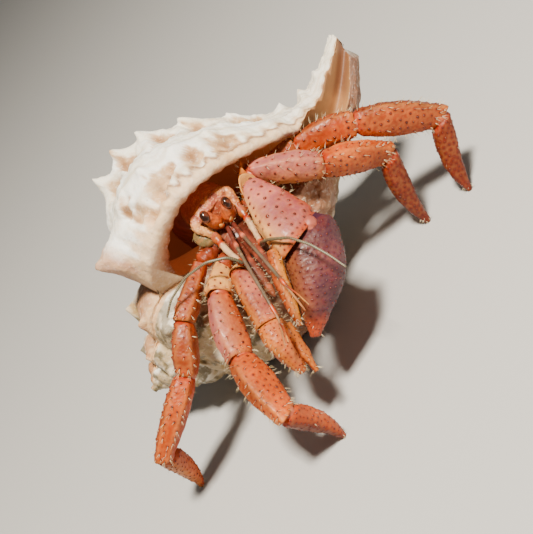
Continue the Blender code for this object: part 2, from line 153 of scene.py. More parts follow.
for frill_turn, frill_place, frill_height in ((-0.125, 84.5, 4.2), (-0.13, 90.5, 3.6), (-0.11, 97.0, 2.6),
                                              (-0.02, 80.0, 1.6), (-0.03, 86.5, 2.2), (-0.6, 88.0, 3.0),
                                              (-0.62, 95.0, 2.4), (-0.36, 87.0, 3.4), (-0.37, 94.0, 2.6)):
    KNOBS.append((frill_turn, frill_place, frill_height, 1.5, 3.8, -18.0))


def carve(turn, place):
    """Outer surface of the shell in millimetres, and how deep each point lies in a knob's hollow."""
    radius = plain_radius(turn, place)
    at = at_the_lip(turn, place)
    size = SHRINK ** -turn
    body = ease(at, 29.0, 36.0) * (1.0 - 0.6 * ease(at, 92.0, 106.0))
    sway = 0.9 * np.sin(turn * 23.0 + at * 0.11) + 0.5 * np.sin(turn * 61.0)
    cords = np.cos((at + 0.35 * sway) * 2.0 * math.pi / 3.5) + 0.5 * np.cos((at + 0.2 * sway) * 5.4 + 0.8)
    radius = radius + 0.17 * size * cords * body * (0.9 + 0.6 * np.sin(turn * 37.0 + at * 0.4))
    wander = 0.7 * np.sin(at * 0.35 + 9.0 * turn) + 0.4 * np.sin(at * 0.9 + 40.0 * turn)
    lamellae = np.abs(np.sin(math.pi * 46.0 * turn + 0.5 * wander)) ** 0.5
    radius = radius - 0.26 * size * (1.0 - lamellae) * body * (1.0 - bell(turn, 0.0, 0.02))
    swayed = turn + 0.02 * np.sin(at * 0.15)
    for row in range(1, KNOBS_A_WHORL):
        radius = radius + 0.7 * size * body * bell(swayed, FIRST_ROW - row / KNOBS_A_WHORL, 0.016)
    radius = radius + 0.8 * size * body * bell(swayed, -0.052, 0.014)
    smooth = on_shell(turn, place, radius)
    warp = np.stack([cloudy(smooth + 40.0 * k, 0.11) for k in range(3)], -1)
    shape = smooth.copy()
    hollow = np.zeros(turn.shape)
    for knob_turn, lip_place, height, along, around, lean in KNOBS:
        knob_size = SHRINK ** -knob_turn
        here = lip_place * knob_size
        if lip_place > SHOULDER:
            here = SHOULDER * knob_size + (lip_place - SHOULDER) * (LENGTH - SHOULDER * knob_size) \
                / (LENGTH - SHOULDER)
        whorl_turn = knob_turn - math.floor(knob_turn) - 1.0
        scale = max(knob_size, 0.2)
        knob_radius = float(plain_radius(np.float64(whorl_turn), np.float64(here)))
        angle = whorl_turn * 2.0 * math.pi
        outward = math.cos(angle) * LIP - math.sin(angle) * BACK
        forward = -math.sin(angle) * LIP - math.cos(angle) * BACK
        lean = math.radians(lean)
        growth = math.cos(lean) * outward - math.sin(lean) * AXIS + (0.18 if height < 9.0 else 0.0) * forward
        middle = on_shell(whorl_turn, here, knob_radius)
        away = smooth - middle + 1.5 * scale * warp
        reach = (away @ AXIS / (along * scale)) ** 2 + (away @ forward / (around * scale)) ** 2
        reach = reach + (away @ outward / (7.0 * scale)) ** 2
        near = np.abs(turn - whorl_turn) < 0.3
        worn = 1.0 - 0.6 * math.exp(-(((whorl_turn + 0.62) / 0.17) ** 2))
        swell = height * scale * worn * np.exp(-(reach ** 0.62)) * near
        shape = shape + swell[..., None] * growth
        ahead = away + 3.4 * scale * warp[..., ::-1] - forward * 6.4 * scale
        dip = (ahead @ AXIS / (3.6 * scale)) ** 2 + (ahead @ forward / (4.6 * scale)) ** 2
        dip = np.exp(-(dip + (ahead @ outward / (9.0 * scale)) ** 2) ** 1.7) * near
        if height > 1.9 and along > 2.0 and height < 9.0:
            depth = 0.85 * min(height, 5.2) * (1.2 if knob_turn > -0.06 else 1.0)
            shape = shape - (dip * depth * scale * (1.0 - ease(turn, -0.008, 0.0)))[..., None] * outward
            hollow = np.maximum(hollow, dip * min(1.0, scale * 1.4))
    return shape, hollow


def cloudy(points, scale, octaves=3):
    """Fractal noise at each point."""
    flat = [noise.fractal(Vector(point) * scale, 1.0, 2.0, octaves) for point in points.reshape(-1, 3)]
    return np.array(flat).reshape(points.shape[:-1])


def made_of(name, points, faces):
    """A smooth object with its faces turned outwards, from points in metres."""
    mesh = bpy.data.meshes.new(name)
    mesh.from_pydata(points.tolist(), [], faces)
    shape = bmesh.new()
    shape.from_mesh(mesh)
    bmesh.ops.recalc_face_normals(shape, faces=shape.faces)
    shape.to_mesh(mesh)
    shape.free()
    mesh.shade_smooth()
    piece = bpy.data.objects.new(name, mesh)
    bpy.context.scene.collection.objects.link(piece)
    return piece


def rings_to_mesh(name, rings):
    """A skin over rings of equally many points, given in millimetres, closed by a fan at each end."""
    rings = (np.asarray(rings, float) - MIDDLE) * MM
    rows, count = rings.shape[:2]
    corners = np.arange(rows * count).reshape(rows, count)
    after = np.roll(corners, -1, axis=1)
    quads = np.stack((corners[:-1], after[:-1], after[1:], corners[1:]), -1).reshape(-1, 4)
    first, last = rows * count, rows * count + 1
    points = np.vstack((rings.reshape(-1, 3), rings[0].mean(axis=0), rings[-1].mean(axis=0)))
    faces = quads.tolist()
    faces += [(first, int(after[0, i]), int(corners[0, i])) for i in range(count)]
    faces += [(last, int(corners[-1, i]), int(after[-1, i])) for i in range(count)]
    return made_of(name, points, faces)


def paint(piece, colours, layer="tone"):
    """Lay one colour on each corner of a piece's mesh."""
    made = piece.data.attributes.new(layer, "FLOAT_COLOR", "POINT")
    made.data.foreach_set("color", np.column_stack((colours, np.ones(len(colours)))).ravel())


def layered(base, *layers):
    """Colours laid over a base in turn, each with its share of 0 to 1."""
    for colour, share in layers:
        base = base + (np.array(colour) - base) * np.clip(share, 0.0, 1.0)[..., None]
    return base


# the grid of the outside is even along the profile, and the lip turns in over its last three rows
shell_turns = np.append(np.linspace(-1.0, 0.0, TURN_STEPS), (0.0032, 0.0054, 0.0062))
lip_inset = np.append(np.zeros(TURN_STEPS), (0.35, 1.0, 1.9))
shell_places = []
trial = np.linspace(0.5, LENGTH, TRIAL_STEPS)
for turn in shell_turns:
    profile = plain_radius(np.full(TRIAL_STEPS, min(turn, 0.0)), trial)
    lengths = np.append(0.0, np.cumsum(np.hypot(np.diff(trial), np.diff(profile))))
    shell_places.append(np.interp(np.linspace(0.0, lengths[-1], PLACE_STEPS), lengths, trial))
grid_places = np.array(shell_places)
grid_turns = np.repeat(np.minimum(shell_turns, 0.0)[:, None], PLACE_STEPS, axis=1)
surface, _ = carve(grid_turns, grid_places)
rough = 0.55 * cloudy(surface, 0.16, 4) + 0.30 * cloudy(surface + 50.0, 0.55)
angle = grid_turns[..., None] * 2.0 * math.pi
outward = np.cos(angle) * LIP - np.sin(angle) * BACK
forward = -np.sin(angle) * LIP - np.cos(angle) * BACK
surface = surface + outward * (rough * ease(grid_places, 0, 9))[..., None]
ahead = np.maximum(shell_turns, 0.0)[:, None, None] * 2.0 * math.pi * SHOULDER
lip_part = ease(grid_places, 24, 36)[..., None]
surface = surface + forward * ahead * lip_part - outward * lip_inset[:, None, None] * lip_part
tip_wave = ease(grid_places, 100.0, 108.0) * (1.0 * np.cos(angle[..., 0] * 2.0 + 0.6) - 1.0)
surface = surface + AXIS * tip_wave[..., None]
surface[..., 2] = np.maximum(surface[..., 2], 0.0)
shell = rings_to_mesh("snail_shell", surface.transpose(1, 0, 2))

# The hollow that the crab lives in is cut from the mouth two fifths of a turn back, and the open
# canal runs from it to the tip.  Both are lined with a smooth orange-brown glaze.
loop = np.array(MOUTH + MOUTH[:3])
along_loop = np.append(0.0, np.cumsum(np.linalg.norm(np.diff(loop, axis=0), axis=1)))
mouth_length = along_loop[len(MOUTH)]
fine = np.linspace(0.0, mouth_length, 145)[:-1]
window = np.linspace(-2.2, 2.2, 13)
outline = np.stack([np.mean([np.interp((fine + shift) % mouth_length, along_loop, loop[:, k])
                             for shift in window], axis=0) for k in (0, 1)], -1)
hollow_rings = []
for turn in np.append(np.array((0.03, 0.012)), np.linspace(0.0, -0.42, 42)):
    size = SHRINK ** -min(turn, 0.0)
    ripple = 0.45 * np.cos(outline[:, 0] * 2.0 * math.pi / 3.5 + math.pi) * bell(turn, 0.0, 0.03)
    ripple = ripple * ease(outline[:, 1], 13.0, 20.0)
    hollow_rings.append(on_shell(np.full(len(outline), turn), outline[:, 0] * size,
                                 (outline[:, 1] + ripple) * size))
mouth_hollow = rings_to_mesh("mouth_hollow", hollow_rings)

canal_rings = []
for place in np.linspace(75.0, LENGTH + 4.0, 40):
    ring = []
    for k in range(28):
        turning = 2.0 * math.pi * k / 28
        wide = 0.075 + 0.085 * math.copysign(abs(math.cos(turning)) ** 0.7, math.cos(turning))
        deep = 9.6 + 7.0 * math.copysign(abs(math.sin(turning)) ** 0.8, math.sin(turning))
        ring.append(on_shell(wide, place, deep))
    canal_rings.append(ring)
canal_hollow = rings_to_mesh("canal_hollow", canal_rings)

for piece in (shell, mouth_hollow, canal_hollow):
    piece.data.materials.append(None)
    piece.data.materials.append(None)
for hollow in (mouth_hollow, canal_hollow):
    for face in hollow.data.polygons:
        face.material_index = 1
    cut = shell.modifiers.new(hollow.name, "BOOLEAN")
    cut.operation = "DIFFERENCE"
    cut.solver = "MANIFOLD"
    cut.object = hollow
    bpy.ops.object.select_all(action="DESELECT")
    bpy.context.view_layer.objects.active = shell
    bpy.ops.object.modifier_apply(modifier=cut.name)
    bpy.data.objects.remove(hollow)

# colours are laid on the corners of the mesh: chalk white, painted shade of tan and brown in the hollows
# before the knobs, brown lines of growth, and inside the mouth from cream at the rim to orange-brown
points = np.empty(len(shell.data.vertices) * 3)
shell.data.vertices.foreach_get("co", points)
points = points.reshape(-1, 3) / MM + MIDDLE
from_apex = points - APEX
place = from_apex @ AXIS
across = from_apex - AXIS * place[:, None] - DORSAL * canal_bend(place)[:, None]
turn = np.arctan2(-across @ BACK, across @ LIP) / (2.0 * math.pi)
turn = np.where(turn > 0.012, turn - 1.0, turn)
radius = np.linalg.norm(across, axis=1)
_, hollow_shade = carve(np.minimum(turn, 0.0), np.clip(place, 0.5, LENGTH))
lining = np.zeros(len(points))
for face in shell.data.polygons:
    if face.material_index == 1:
        for corner in face.vertices:
            lining[corner] = 1.0
at = at_the_lip(np.minimum(turn, 0.0), np.clip(place, 0.5, LENGTH))
grain = cloudy(points, 0.09, 4)
fine_grain = cloudy(points + 20.0, 0.34, 3)
lines = np.sin(turn * 2.0 * math.pi * 31.0 + 1.5 * np.sin(at * 0.3)) * 0.5 + 0.5

# darker and greener towards the bottom: a greenish-tan stain, deepened by painted shade on the underside
stain_and_shade_below = 1.0 - ease(points[:, 2], 30.0, 54.0)
# painted shade: orange-brown on the underside of the big spine
shade_under_spine = (1.0 - ease(at + 3.0 * grain, 30.0, 34.5)) * ease(turn, -0.13, -0.08)
crenulated = 0.012 + 0.006 * np.sin(at * 1.8) + 0.006 * grain
# the brown callus on the far side of the mouth and canal, darkened further as painted shade
callus_and_shade = (1.0 - ease(turn + 0.03 * grain, -0.70, -0.50)) * ease(place, 33.0, 38.0)
chalk = layered(
    np.tile((0.90, 0.85, 0.74), (len(points), 1)),
    ((0.98, 0.97, 0.93), ease(grain, -0.4, 0.15)),
    # painted shade: tan in the hollows before the knobs, with a darker brown core
    ((0.50, 0.27, 0.105), 0.9 * ease(hollow_shade + 0.25 * grain + 0.35 * fine_grain, 0.25, 0.55)),
    ((0.26, 0.115, 0.040), 0.85 * ease(hollow_shade + 0.45 * fine_grain, 0.60, 0.90)),
    ((0.52, 0.38, 0.22), 0.35 * ease(lines, 0.75, 1.0) * ease(at, 30, 40)),
    ((0.40, 0.26, 0.095), 0.9 * stain_and_shade_below * ease(grain, -0.7, 0.0)),
    ((0.15, 0.11, 0.045), 0.9 * stain_and_shade_below * ease(-fine_grain - 0.5 * grain, 0.0, 0.30)),
    ((0.46, 0.19, 0.07), 0.85 * shade_under_spine),
    ((0.78, 0.50, 0.26), 0.8 * ease(turn, -2.4 * crenulated, -0.6 * crenulated)),
    ((0.22, 0.095, 0.035), 0.9 * bell(turn, -0.8 * crenulated, 0.0040) * ease(at, 44.0, 56.0)),
    ((0.25, 0.085, 0.038), 0.85 * callus_and_shade))
deep = -np.minimum(turn, 0.0)
channel = ease(place, 76.0, 86.0)
turn_over = np.clip(turn + 0.9, -0.2, 0.2)
parietal = (1.0 - ease(radius, 9.0, 18.0)) * (1.0 - channel)
glaze = layered(
    np.tile((0.30, 0.12, 0.045), (len(points), 1)),
    ((0.66, 0.30, 0.10), ease(deep, 0.004, 0.012)),
    ((0.62, 0.15, 0.025), ease(deep, 0.015, 0.07)),
    ((0.42, 0.085, 0.018), ease(deep, 0.12, 0.34)),
    ((0.34, 0.17, 0.07), channel),
    # painted shade: darker at the bottom of the canal's groove and on its far wall
    ((0.17, 0.065, 0.028), channel * (1.0 - ease(radius + 6.0 * turn_over, 2.0, 8.0))),
    ((0.46, 0.105, 0.028), 1.0 - ease(place, 36.0, 50.0)),
    ((0.50, 0.19, 0.065), 0.8 * parietal))
paint(shell, np.where(lining[:, None] > 0.5, glaze, chalk))
# painted light: the lining glows with its own colour, most near the lip, as if daylight came through the thin
# wall
glow = glaze * ((1.0 - channel) * (0.35 + 0.65 * ease(-deep, -0.25, -0.02)))[:, None]
paint(shell, glow, "glow")


class Socket:
    """An output of a shader node, on which sums are written as plain Python."""

    def __init__(self, tree, output):
        self.tree = tree
        self.output = output

    def node(self, kind, settings=None, **values):
        made = self.tree.nodes.new(kind)
        for key, value in (settings or {}).items():
            if key == "ramp":
                stops = made.color_ramp.elements
                while len(stops) < len(value):
                    stops.new(0.5)
                for stop, (position, colour) in zip(stops, value):
                    stop.position = position
                    stop.color = (*colour, 1.0)
            else:
                setattr(made, key, value)
        for key, value in values.items():
            name = key.replace("_", " ")
            entry = made.inputs[int(key[1:])] if key[0] == "i" and key[1:].isdigit() else made.inputs[name]
            if isinstance(value, Socket):
                self.tree.links.new(value.output, entry)
            else:
                entry.default_value = value
        return made

    def use(self, kind, settings=None, out=0, **values):
        return Socket(self.tree, self.node(kind, settings, **values).outputs[out])

    def math(self, operation, a, b=0.0):
        return self.use("ShaderNodeMath", {"operation": operation}, i0=a, i1=b)

    def __add__(self, other):
        return self.math("ADD", self, other)

    def __radd__(self, other):
        return self.math("ADD", other, self)

    def __sub__(self, other):
        return self.math("SUBTRACT", self, other)

    def __rsub__(self, other):
        return self.math("SUBTRACT", other, self)

    def __mul__(self, other):
        return self.math("MULTIPLY", self, other)

    def __rmul__(self, other):
        return self.math("MULTIPLY", other, self)

    def step(self, low, high):
        return self.use("ShaderNodeMapRange", {"interpolation_type": "SMOOTHSTEP"}, Value=self,
                        From_Min=low, From_Max=high)

    def tint(self, colour, share, blend="MIX"):
        """This colour, changed towards another by a share of 0 to 1."""
        return self.use("ShaderNodeMix", {"data_type": "RGBA", "blend_type": blend}, out=2,
                        i0=share, i6=self, i7=colour)


def new_finish(name):
    material = bpy.data.materials.new(name)
    material.use_nodes = True
    surface = material.node_tree.nodes["Principled BSDF"]
    start = Socket(material.node_tree, None)
    return material, surface, start


def settle(start, surface, colour, roughness, bump=None, strength=0.5, distance=0.0003):
    """Join the finished colour, roughness and bump to the surface."""
    start.tree.links.new(colour.output, surface.inputs["Base Color"])
    if isinstance(roughness, Socket):
        start.tree.links.new(roughness.output, surface.inputs["Roughness"])
    else:
        surface.inputs["Roughness"].default_value = roughness
    if bump is not None:
        raised = start.use("ShaderNodeBump", Strength=strength, Distance=distance, Height=bump)
        start.tree.links.new(raised.output, surface.inputs["Normal"])


def soften(surface, weight, radius, scale):
    """Let light a little way into the surface."""
    surface.inputs["Subsurface Weight"].default_value = weight
    surface.inputs["Subsurface Radius"].default_value = radius
    surface.inputs["Subsurface Scale"].default_value = scale


# chalk: the worn outside, with fine pits, powdery grain and faint brown stain
chalk_finish, surface, start = new_finish("worn_shell")
position = start.use("ShaderNodeTexCoord", out=3)
tone = start.use("ShaderNodeAttribute", {"attribute_name": "tone"})
broad = start.use("ShaderNodeTexNoise", Vector=position, Scale=120.0, Detail=6.0, Roughness=0.6)
powder = start.use("ShaderNodeTexNoise", Vector=position, Scale=900.0, Detail=4.0, Roughness=0.7)
pits = start.use("ShaderNodeTexVoronoi", Vector=position, Scale=700.0)
stain = broad.step(0.52, 0.72)
colour = tone.tint((0.62, 0.45, 0.28, 1.0), stain * 0.40)
colour = colour.tint((0.95, 0.92, 0.86, 1.0), powder.step(0.5, 0.75) * 0.35)
colour = colour.tint((0.36, 0.26, 0.15, 1.0), (1.0 - pits.step(0.08, 0.30)) * broad.step(0.45, 0.65) * 0.45)
settle(start, surface, colour, powder * 0.25 + 0.55, powder * 0.6 + pits * 0.5 + broad * 0.8, 0.7, 0.0005)
soften(surface, 0.08, (0.9, 0.55, 0.30), 0.004)

# glaze: the smooth lining of the mouth and the canal
glaze_finish, surface, start = new_finish("shell_lining")
position = start.use("ShaderNodeTexCoord", out=3)
tone = start.use("ShaderNodeAttribute", {"attribute_name": "tone"})
cloud = start.use("ShaderNodeTexNoise", Vector=position, Scale=90.0, Detail=4.0)
speck = start.use("ShaderNodeTexNoise", Vector=position, Scale=700.0, Detail=3.0)
colour = tone.tint((0.70, 0.34, 0.12, 1.0), cloud.step(0.5, 0.75) * 0.35)
colour = colour.tint((0.20, 0.08, 0.04, 1.0), speck.step(0.6, 0.8) * 0.25)
settle(start, surface, colour, speck * 0.25 + 0.25, speck * 0.4 + cloud, 0.25, 0.0003)
# painted light: the lining's glow is fed in as emission
glow = start.use("ShaderNodeAttribute", {"attribute_name": "glow"})
start.tree.links.new(glow.output, surface.inputs["Emission Color"])
surface.inputs["Emission Strength"].default_value = 0.28
soften(surface, 0.15, (1.0, 0.4, 0.15), 0.004)

shell.data.materials[0] = chalk_finish
shell.data.materials[1] = glaze_finish
shell.data.shade_smooth()
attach(shell, "root")
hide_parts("shell")

# ---- PLATES OF THE LIMBS -----------------------------------------------------------------------
# Each limb is a row of hard, waxy plates with a ridge along the top and a pale rim at the far end.
# A plate is lofted over ovals between two joints; the next plate's narrow neck sits in its rim.
ROSE = (0.25, 0.034, 0.005)
MAUVE = (0.16, 0.024, 0.013)
LILAC = (0.33, 0.092, 0.098)
BLUSH = (0.42, 0.125, 0.048)
PURPLE = (0.054, 0.015, 0.032)
UMBER = (0.24, 0.075, 0.020)
ORANGE = (0.37, 0.040, 0.0003)
TAN = (0.34, 0.078, 0.006)
CREAM = (0.76, 0.38, 0.11)
RED = (0.30, 0.010, 0.001)
RUST = (0.13, 0.010, 0.003)
RING = (0.34, 0.026, 0.002)


def between(stations, share, column, blur=0.05):
    """A column of the station table along the plate, with its corners rounded off."""
    at = [station[0] for station in stations]
    value = [station[column] if len(station) > column else 0.0 for station in stations]
    return np.mean([np.interp(share + shift, at, value) for shift in np.linspace(-blur, blur, 9)], axis=0)


dots = []
bristles = []
atlas_cells = itertools.count()
SQUARENESS = 2.4


def atlas_spot(cell, share, j, count):
    """Where a dot or bristle lies in its own cell of an eight by eight map."""
    return cell % 8 / 8 + 0.01 + 0.10 * share, cell // 8 / 8 + 0.01 + 0.10 * j / count


def away_from(theta, degrees):
    """The angle between directions round a section, in radians either way."""
    return (theta - math.radians(degrees) + math.pi) % (2.0 * math.pi) - math.pi


def plate(node, start, end, side, stations, coat, start_cut=None, end_cut=None, rows=64, count=60,
          ridges=(), rim=(CREAM, 0.6), neck=(RED, 0.9), spacing=2.3, dot=0.34, hairs=0.8,
          hair_length=1.6, bare=None, swell=0.10, neck_size=0.26, halo=0.12,
          tip=None):
    """One hard plate.  coat gives a colour for directions round the section, in degrees from side."""
    start, end = Vector(start), Vector(end)
    axis = (end - start).normalized()
    side = (side - axis * side.dot(axis)).normalized()
    up = side.cross(axis)
    if up.z < 0.0:
        up = -up
    length = (end - start).length
    share = np.linspace(0.0, 1.0, rows)
    theta = 2.0 * math.pi * (np.arange(count) + 0.5) / count
    half_width, half_height, rise, shift = (between(stations, share, column) for column in (1, 2, 3, 4))
    neck_in = 1.0 - neck_size * (1.0 - ease(share, 0.0, 0.10)) if start_cut else np.ones(rows)
    flare = 1.0 + (0.022 * bell(share, 0.965, 0.03) - 0.02 * bell(share, 0.90, 0.03) if end_cut else 0.0)
    cosine = np.sign(np.cos(theta)) * np.abs(np.cos(theta)) ** (2.0 / SQUARENESS)
    sine = np.sign(np.sin(theta)) * np.abs(np.sin(theta)) ** (2.0 / SQUARENESS)
    push = np.ones(count)
    for degrees, amount, width in ridges:
        off = away_from(theta, degrees)
        push = push + amount * np.exp(-np.abs(off / math.radians(width)) ** 1.4)
    side_, up_, axis_ = (np.array(v) for v in (side, up, axis))
    centre = np.array(start) + share[:, None] * length * axis_ + rise[:, None] * up_ + shift[:, None] * side_
    ring = (half_width * neck_in * flare)[:, None, None] * (cosine * push)[None, :, None] * side_ \
        + (half_height * neck_in * flare)[:, None, None] * (sine * push)[None, :, None] * up_
    grid = centre[:, None] + ring
    for cut, weight in ((start_cut, 1.0 - share / 0.45), (end_cut, (share - 0.55) / 0.45)):
        if cut is None:
            continue
        facing = np.array(cut[1])
        slide = -(grid - centre[:, None]) @ facing / axis_.dot(facing)
        grid = grid + axis_ * (slide * np.clip(weight, 0.0, 1.0)[:, None])[..., None]
    if end_cut:
        grid = grid + axis_ * (0.55 * ease(share, 0.8, 1.0))[:, None, None]
    along, round_ = np.gradient(grid, axis=0), np.roll(grid, -1, axis=1) - np.roll(grid, 1, axis=1)
    normal = np.cross(along, round_)
    normal /= np.linalg.norm(normal, axis=-1, keepdims=True) + 1e-9
    if (normal * ring).sum() < 0.0:
        normal = -normal
    bumps = cloudy(grid + 7.0, 0.33)
    grid = grid + normal * (0.16 * bumps * ease(share, 0.02, 0.1)[:, None])[..., None]

    # colour by direction, then the rim, the tip, the neck, and a painted highlight along the ridges
    tone = np.zeros((rows, count, 3))
    total = np.zeros((rows, count))
    wander = 0.5 * cloudy(grid, 0.12)
    for degrees, colour in coat:
        weight = np.exp(4.0 * np.cos(theta[None, :] - math.radians(degrees) + wander))
        tone += weight[..., None] * np.array(colour)
        total += weight
    tone = tone / total[..., None]
    along_plate = share[:, None] * np.ones(count)
    if end_cut:
        tone = layered(tone, (rim[0], rim[1] * ease(along_plate + 0.08 * wander, 0.90, 0.99)))
    if tip:
        tone = layered(tone, (tip, 0.85 * ease(along_plate + 0.06 * wander, 0.78, 0.92)))
    if start_cut:
        tone = layered(tone, (neck[0], neck[1] * (1.0 - ease(along_plate + 0.05 * wander, 0.03, 0.14))))
    for degrees, _, width in ridges:
        # painted highlight: a faint cream line along the crest of each ridge
        crest_highlight = np.exp(-np.abs(away_from(theta, degrees) / math.radians(width * 0.8)) ** 2)
        tone = layered(tone, (CREAM, 0.14 * (crest_highlight[None, :] * ease(share, 0.1, 0.25)[:, None])))

    # dark dots stand a little raised on the plate, each in a paler ring
    dice = random.Random(node)
    choice = [(i, j) for i in range(2, rows - 2) for j in range(count)]
    dice.shuffle(choice)
    taken = np.zeros((0, 3))
    cell = next(atlas_cells)
    for i, j in choice:
        if share[i] < 0.07 and start_cut:
            continue
        if bare is not None and bare(share[i], math.degrees(theta[j])):
            continue
        room = spacing * (0.8 + 0.5 * dice.random()) * (1.0 - 0.35 * (share[i] > 0.88))
        place_ = grid[i, j]
        if len(taken) and np.min(((taken - place_) ** 2).sum(axis=1)) < room * room:
            continue
        taken = np.vstack((taken, place_))
        edge = max([0.0] + [math.exp(-(((math.degrees(theta[j]) - d + 180) % 360 - 180) / 22.0) ** 2)
                            for d, _, _ in ridges])
        edge = max(edge, 0.8 * (share[i] > 0.9))
        size = dot * (0.75 + 0.5 * dice.random()) * (1.0 - 0.35 * edge)
        spot = atlas_spot(cell, share[i], j, count)
        dots.append((place_ + normal[i, j] * swell * 0.85, normal[i, j], axis_, size, spot))
        hairy = dice.random() < hairs * (0.10 + 1.9 * edge)
        strands = hairy * (1 + (dice.random() < 0.5) + 2 * (edge > 0.5))
        for _ in range(strands):
            bristles.append((place_, normal[i, j], axis_, hair_length * (0.45 + 0.75 * dice.random()),
                             dice.random() - 0.5, dice.random() - 0.5, spot))
    if len(taken):
        away = np.sqrt(((grid.reshape(-1, 1, 3) - taken[None]) ** 2).sum(-1).min(axis=1))
        away = away.reshape(rows, count)
        tone = layered(tone, (CREAM, halo * bell(away, 0.85, 0.30)),
                       (RING, 0.5 * ease(spacing, 1.5, 2.2) * bell(away, 0.0, 0.62)))
        grid = grid + normal * (swell * bell(away, 0.0, 0.55))[..., None]
        if end_cut:
            rim_swell = 0.10 * ease(share, 0.9, 0.97) * bell(away.mean(axis=1), 0.4, 0.8)
            grid = grid + normal * rim_swell[:, None, None]

    def turned_in(ring_, scale, depth):
        heart = ring_.mean(axis=0)
        return heart + (ring_ - heart) * scale + axis_ * depth

    before = ((0.55, 0.25), (0.86, 0.0)) if start_cut else ((0.55, -0.05),)
    after = ((0.93, 0.05), (0.86, -0.35), (0.74, -1.3)) if end_cut else ((0.6, 0.12),)
    rings = [turned_in(grid[0], *inset) for inset in before] + list(grid)
    rings += [turned_in(grid[-1], *inset) for inset in after]
    piece = rings_to_mesh(node + "_plate", rings)
    paint(piece, np.vstack((
        np.tile(tone[0].mean(axis=0) * 0.8, (len(before) * count, 1)), tone.reshape(-1, 3),
        np.tile(tone[-1].mean(axis=0) * (0.75 if end_cut else 1.0), (len(after) * count, 1)),
        np.tile(RUST, (2, 1)))))
    piece.data.materials.append(waxy_finish)
    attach(piece, "root")
    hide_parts(node)
    return piece


# the waxy skin: the laid colour, clouded and finely speckled, with a broken gloss
waxy_finish, surface, start = new_finish("waxy_plate")
position = start.use("ShaderNodeTexCoord", out=3)
tone = start.use("ShaderNodeAttribute", {"attribute_name": "tone"})
cloud = start.use("ShaderNodeTexNoise", Vector=position, Scale=260.0, Detail=5.0, Roughness=0.6)
fleck = start.use("ShaderNodeTexNoise", Vector=position, Scale=1500.0, Detail=3.0, Roughness=0.6)
pores = start.use("ShaderNodeTexVoronoi", Vector=position, Scale=1300.0)
broad = start.use("ShaderNodeTexNoise", Vector=position, Scale=110.0, Detail=4.0, Roughness=0.55)
colour = tone.tint((1.0, 0.88, 0.72, 1.0), broad.step(0.48, 0.70) * 0.75, "SOFT_LIGHT")
colour = colour.tint((0.42, 0.26, 0.22, 1.0), (1.0 - broad.step(0.30, 0.50)) * 0.35, "MULTIPLY")
colour = colour.tint((0.18, 0.015, 0.006, 1.0), (1.0 - cloud.step(0.28, 0.48)) * 0.35)
colour = colour.tint((0.70, 0.34, 0.10, 1.0), (1.0 - pores.step(0.10, 0.26)) * fleck.step(0.45, 0.6) * 0.08)
settle(start, surface, colour, fleck * 0.30 + 0.30, fleck * 0.5 + cloud * 0.9 + pores * 0.6, 0.5, 0.00028)
soften(surface, 0.12, (1.0, 0.30, 0.12), 0.0015)
surface.inputs["Specular IOR Level"].default_value = 0.20
surface.inputs["Coat Weight"].default_value = 0.06
surface.inputs["Coat Roughness"].default_value = 0.16

# the dark, wet-looking dots
dot_finish, surface, start = new_finish("dark_dot")
position = start.use("ShaderNodeTexCoord", out=3)
shade = start.use("ShaderNodeTexNoise", Vector=position, Scale=500.0, Detail=2.0)
colour = start.use("ShaderNodeValToRGB", {"ramp": ((0.35, (0.060, 0.008, 0.004)),
                                                  (0.65, (0.15, 0.020, 0.007)))}, Fac=shade)
settle(start, surface, colour, 0.22)

# the soft red skin in the joints
joint_finish, surface, start = new_finish("joint_skin")
position = start.use("ShaderNodeTexCoord", out=3)
fold = start.use("ShaderNodeTexNoise", Vector=position, Scale=600.0, Detail=4.0)
colour = start.use("ShaderNodeValToRGB", {"ramp": ((0.3, (0.30, 0.035, 0.012)), (0.7, (0.58, 0.12, 0.035)))},
                   Fac=fold)
settle(start, surface, colour, fold * 0.2 + 0.3, fold, 0.5, 0.0003)

# the pale stiff bristles
bristle_finish, surface, start = new_finish("pale_bristle")
position = start.use("ShaderNodeTexCoord", out=3)
strand = start.use("ShaderNodeTexNoise", Vector=position, Scale=300.0, Detail=2.0)
colour = start.use("ShaderNodeValToRGB", {"ramp": ((0.3, (0.62, 0.46, 0.22)), (0.7, (0.88, 0.78, 0.56)))},
                   Fac=strand)
settle(start, surface, colour, 0.35)


def joint_skin(name, places):
    """Folded red skin that fills the joints of one limb: a ball in each."""
    made = []
    for place_, size in places:
        bpy.ops.object.select_all(action="DESELECT")
        bpy.ops.mesh.primitive_uv_sphere_add(segments=20, ring_count=12, radius=size * MM,
                                             location=(Vector(place_) - Vector(MIDDLE)) * MM)
        ball = bpy.context.active_object
        bpy.ops.object.transform_apply(location=True, rotation=True, scale=True)
        made.append(ball)
    bpy.ops.object.select_all(action="DESELECT")
    for ball in made:
        ball.select_set(True)
    bpy.context.view_layer.objects.active = made[0]
    if len(made) > 1:
        bpy.ops.object.join()
    skin = bpy.context.active_object
    skin.name = name
    skin.data.shade_smooth()
    skin.data.materials.append(joint_finish)
    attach(skin, "root")


def joint_cuts(before, joint, after):
    """The plane that halves the bend at a joint, where two plates meet."""
    before, joint, after = Vector(before), Vector(joint), Vector(after)
    facing = ((joint - before).normalized() + (after - joint).normalized()).normalized()
    return (joint, facing)


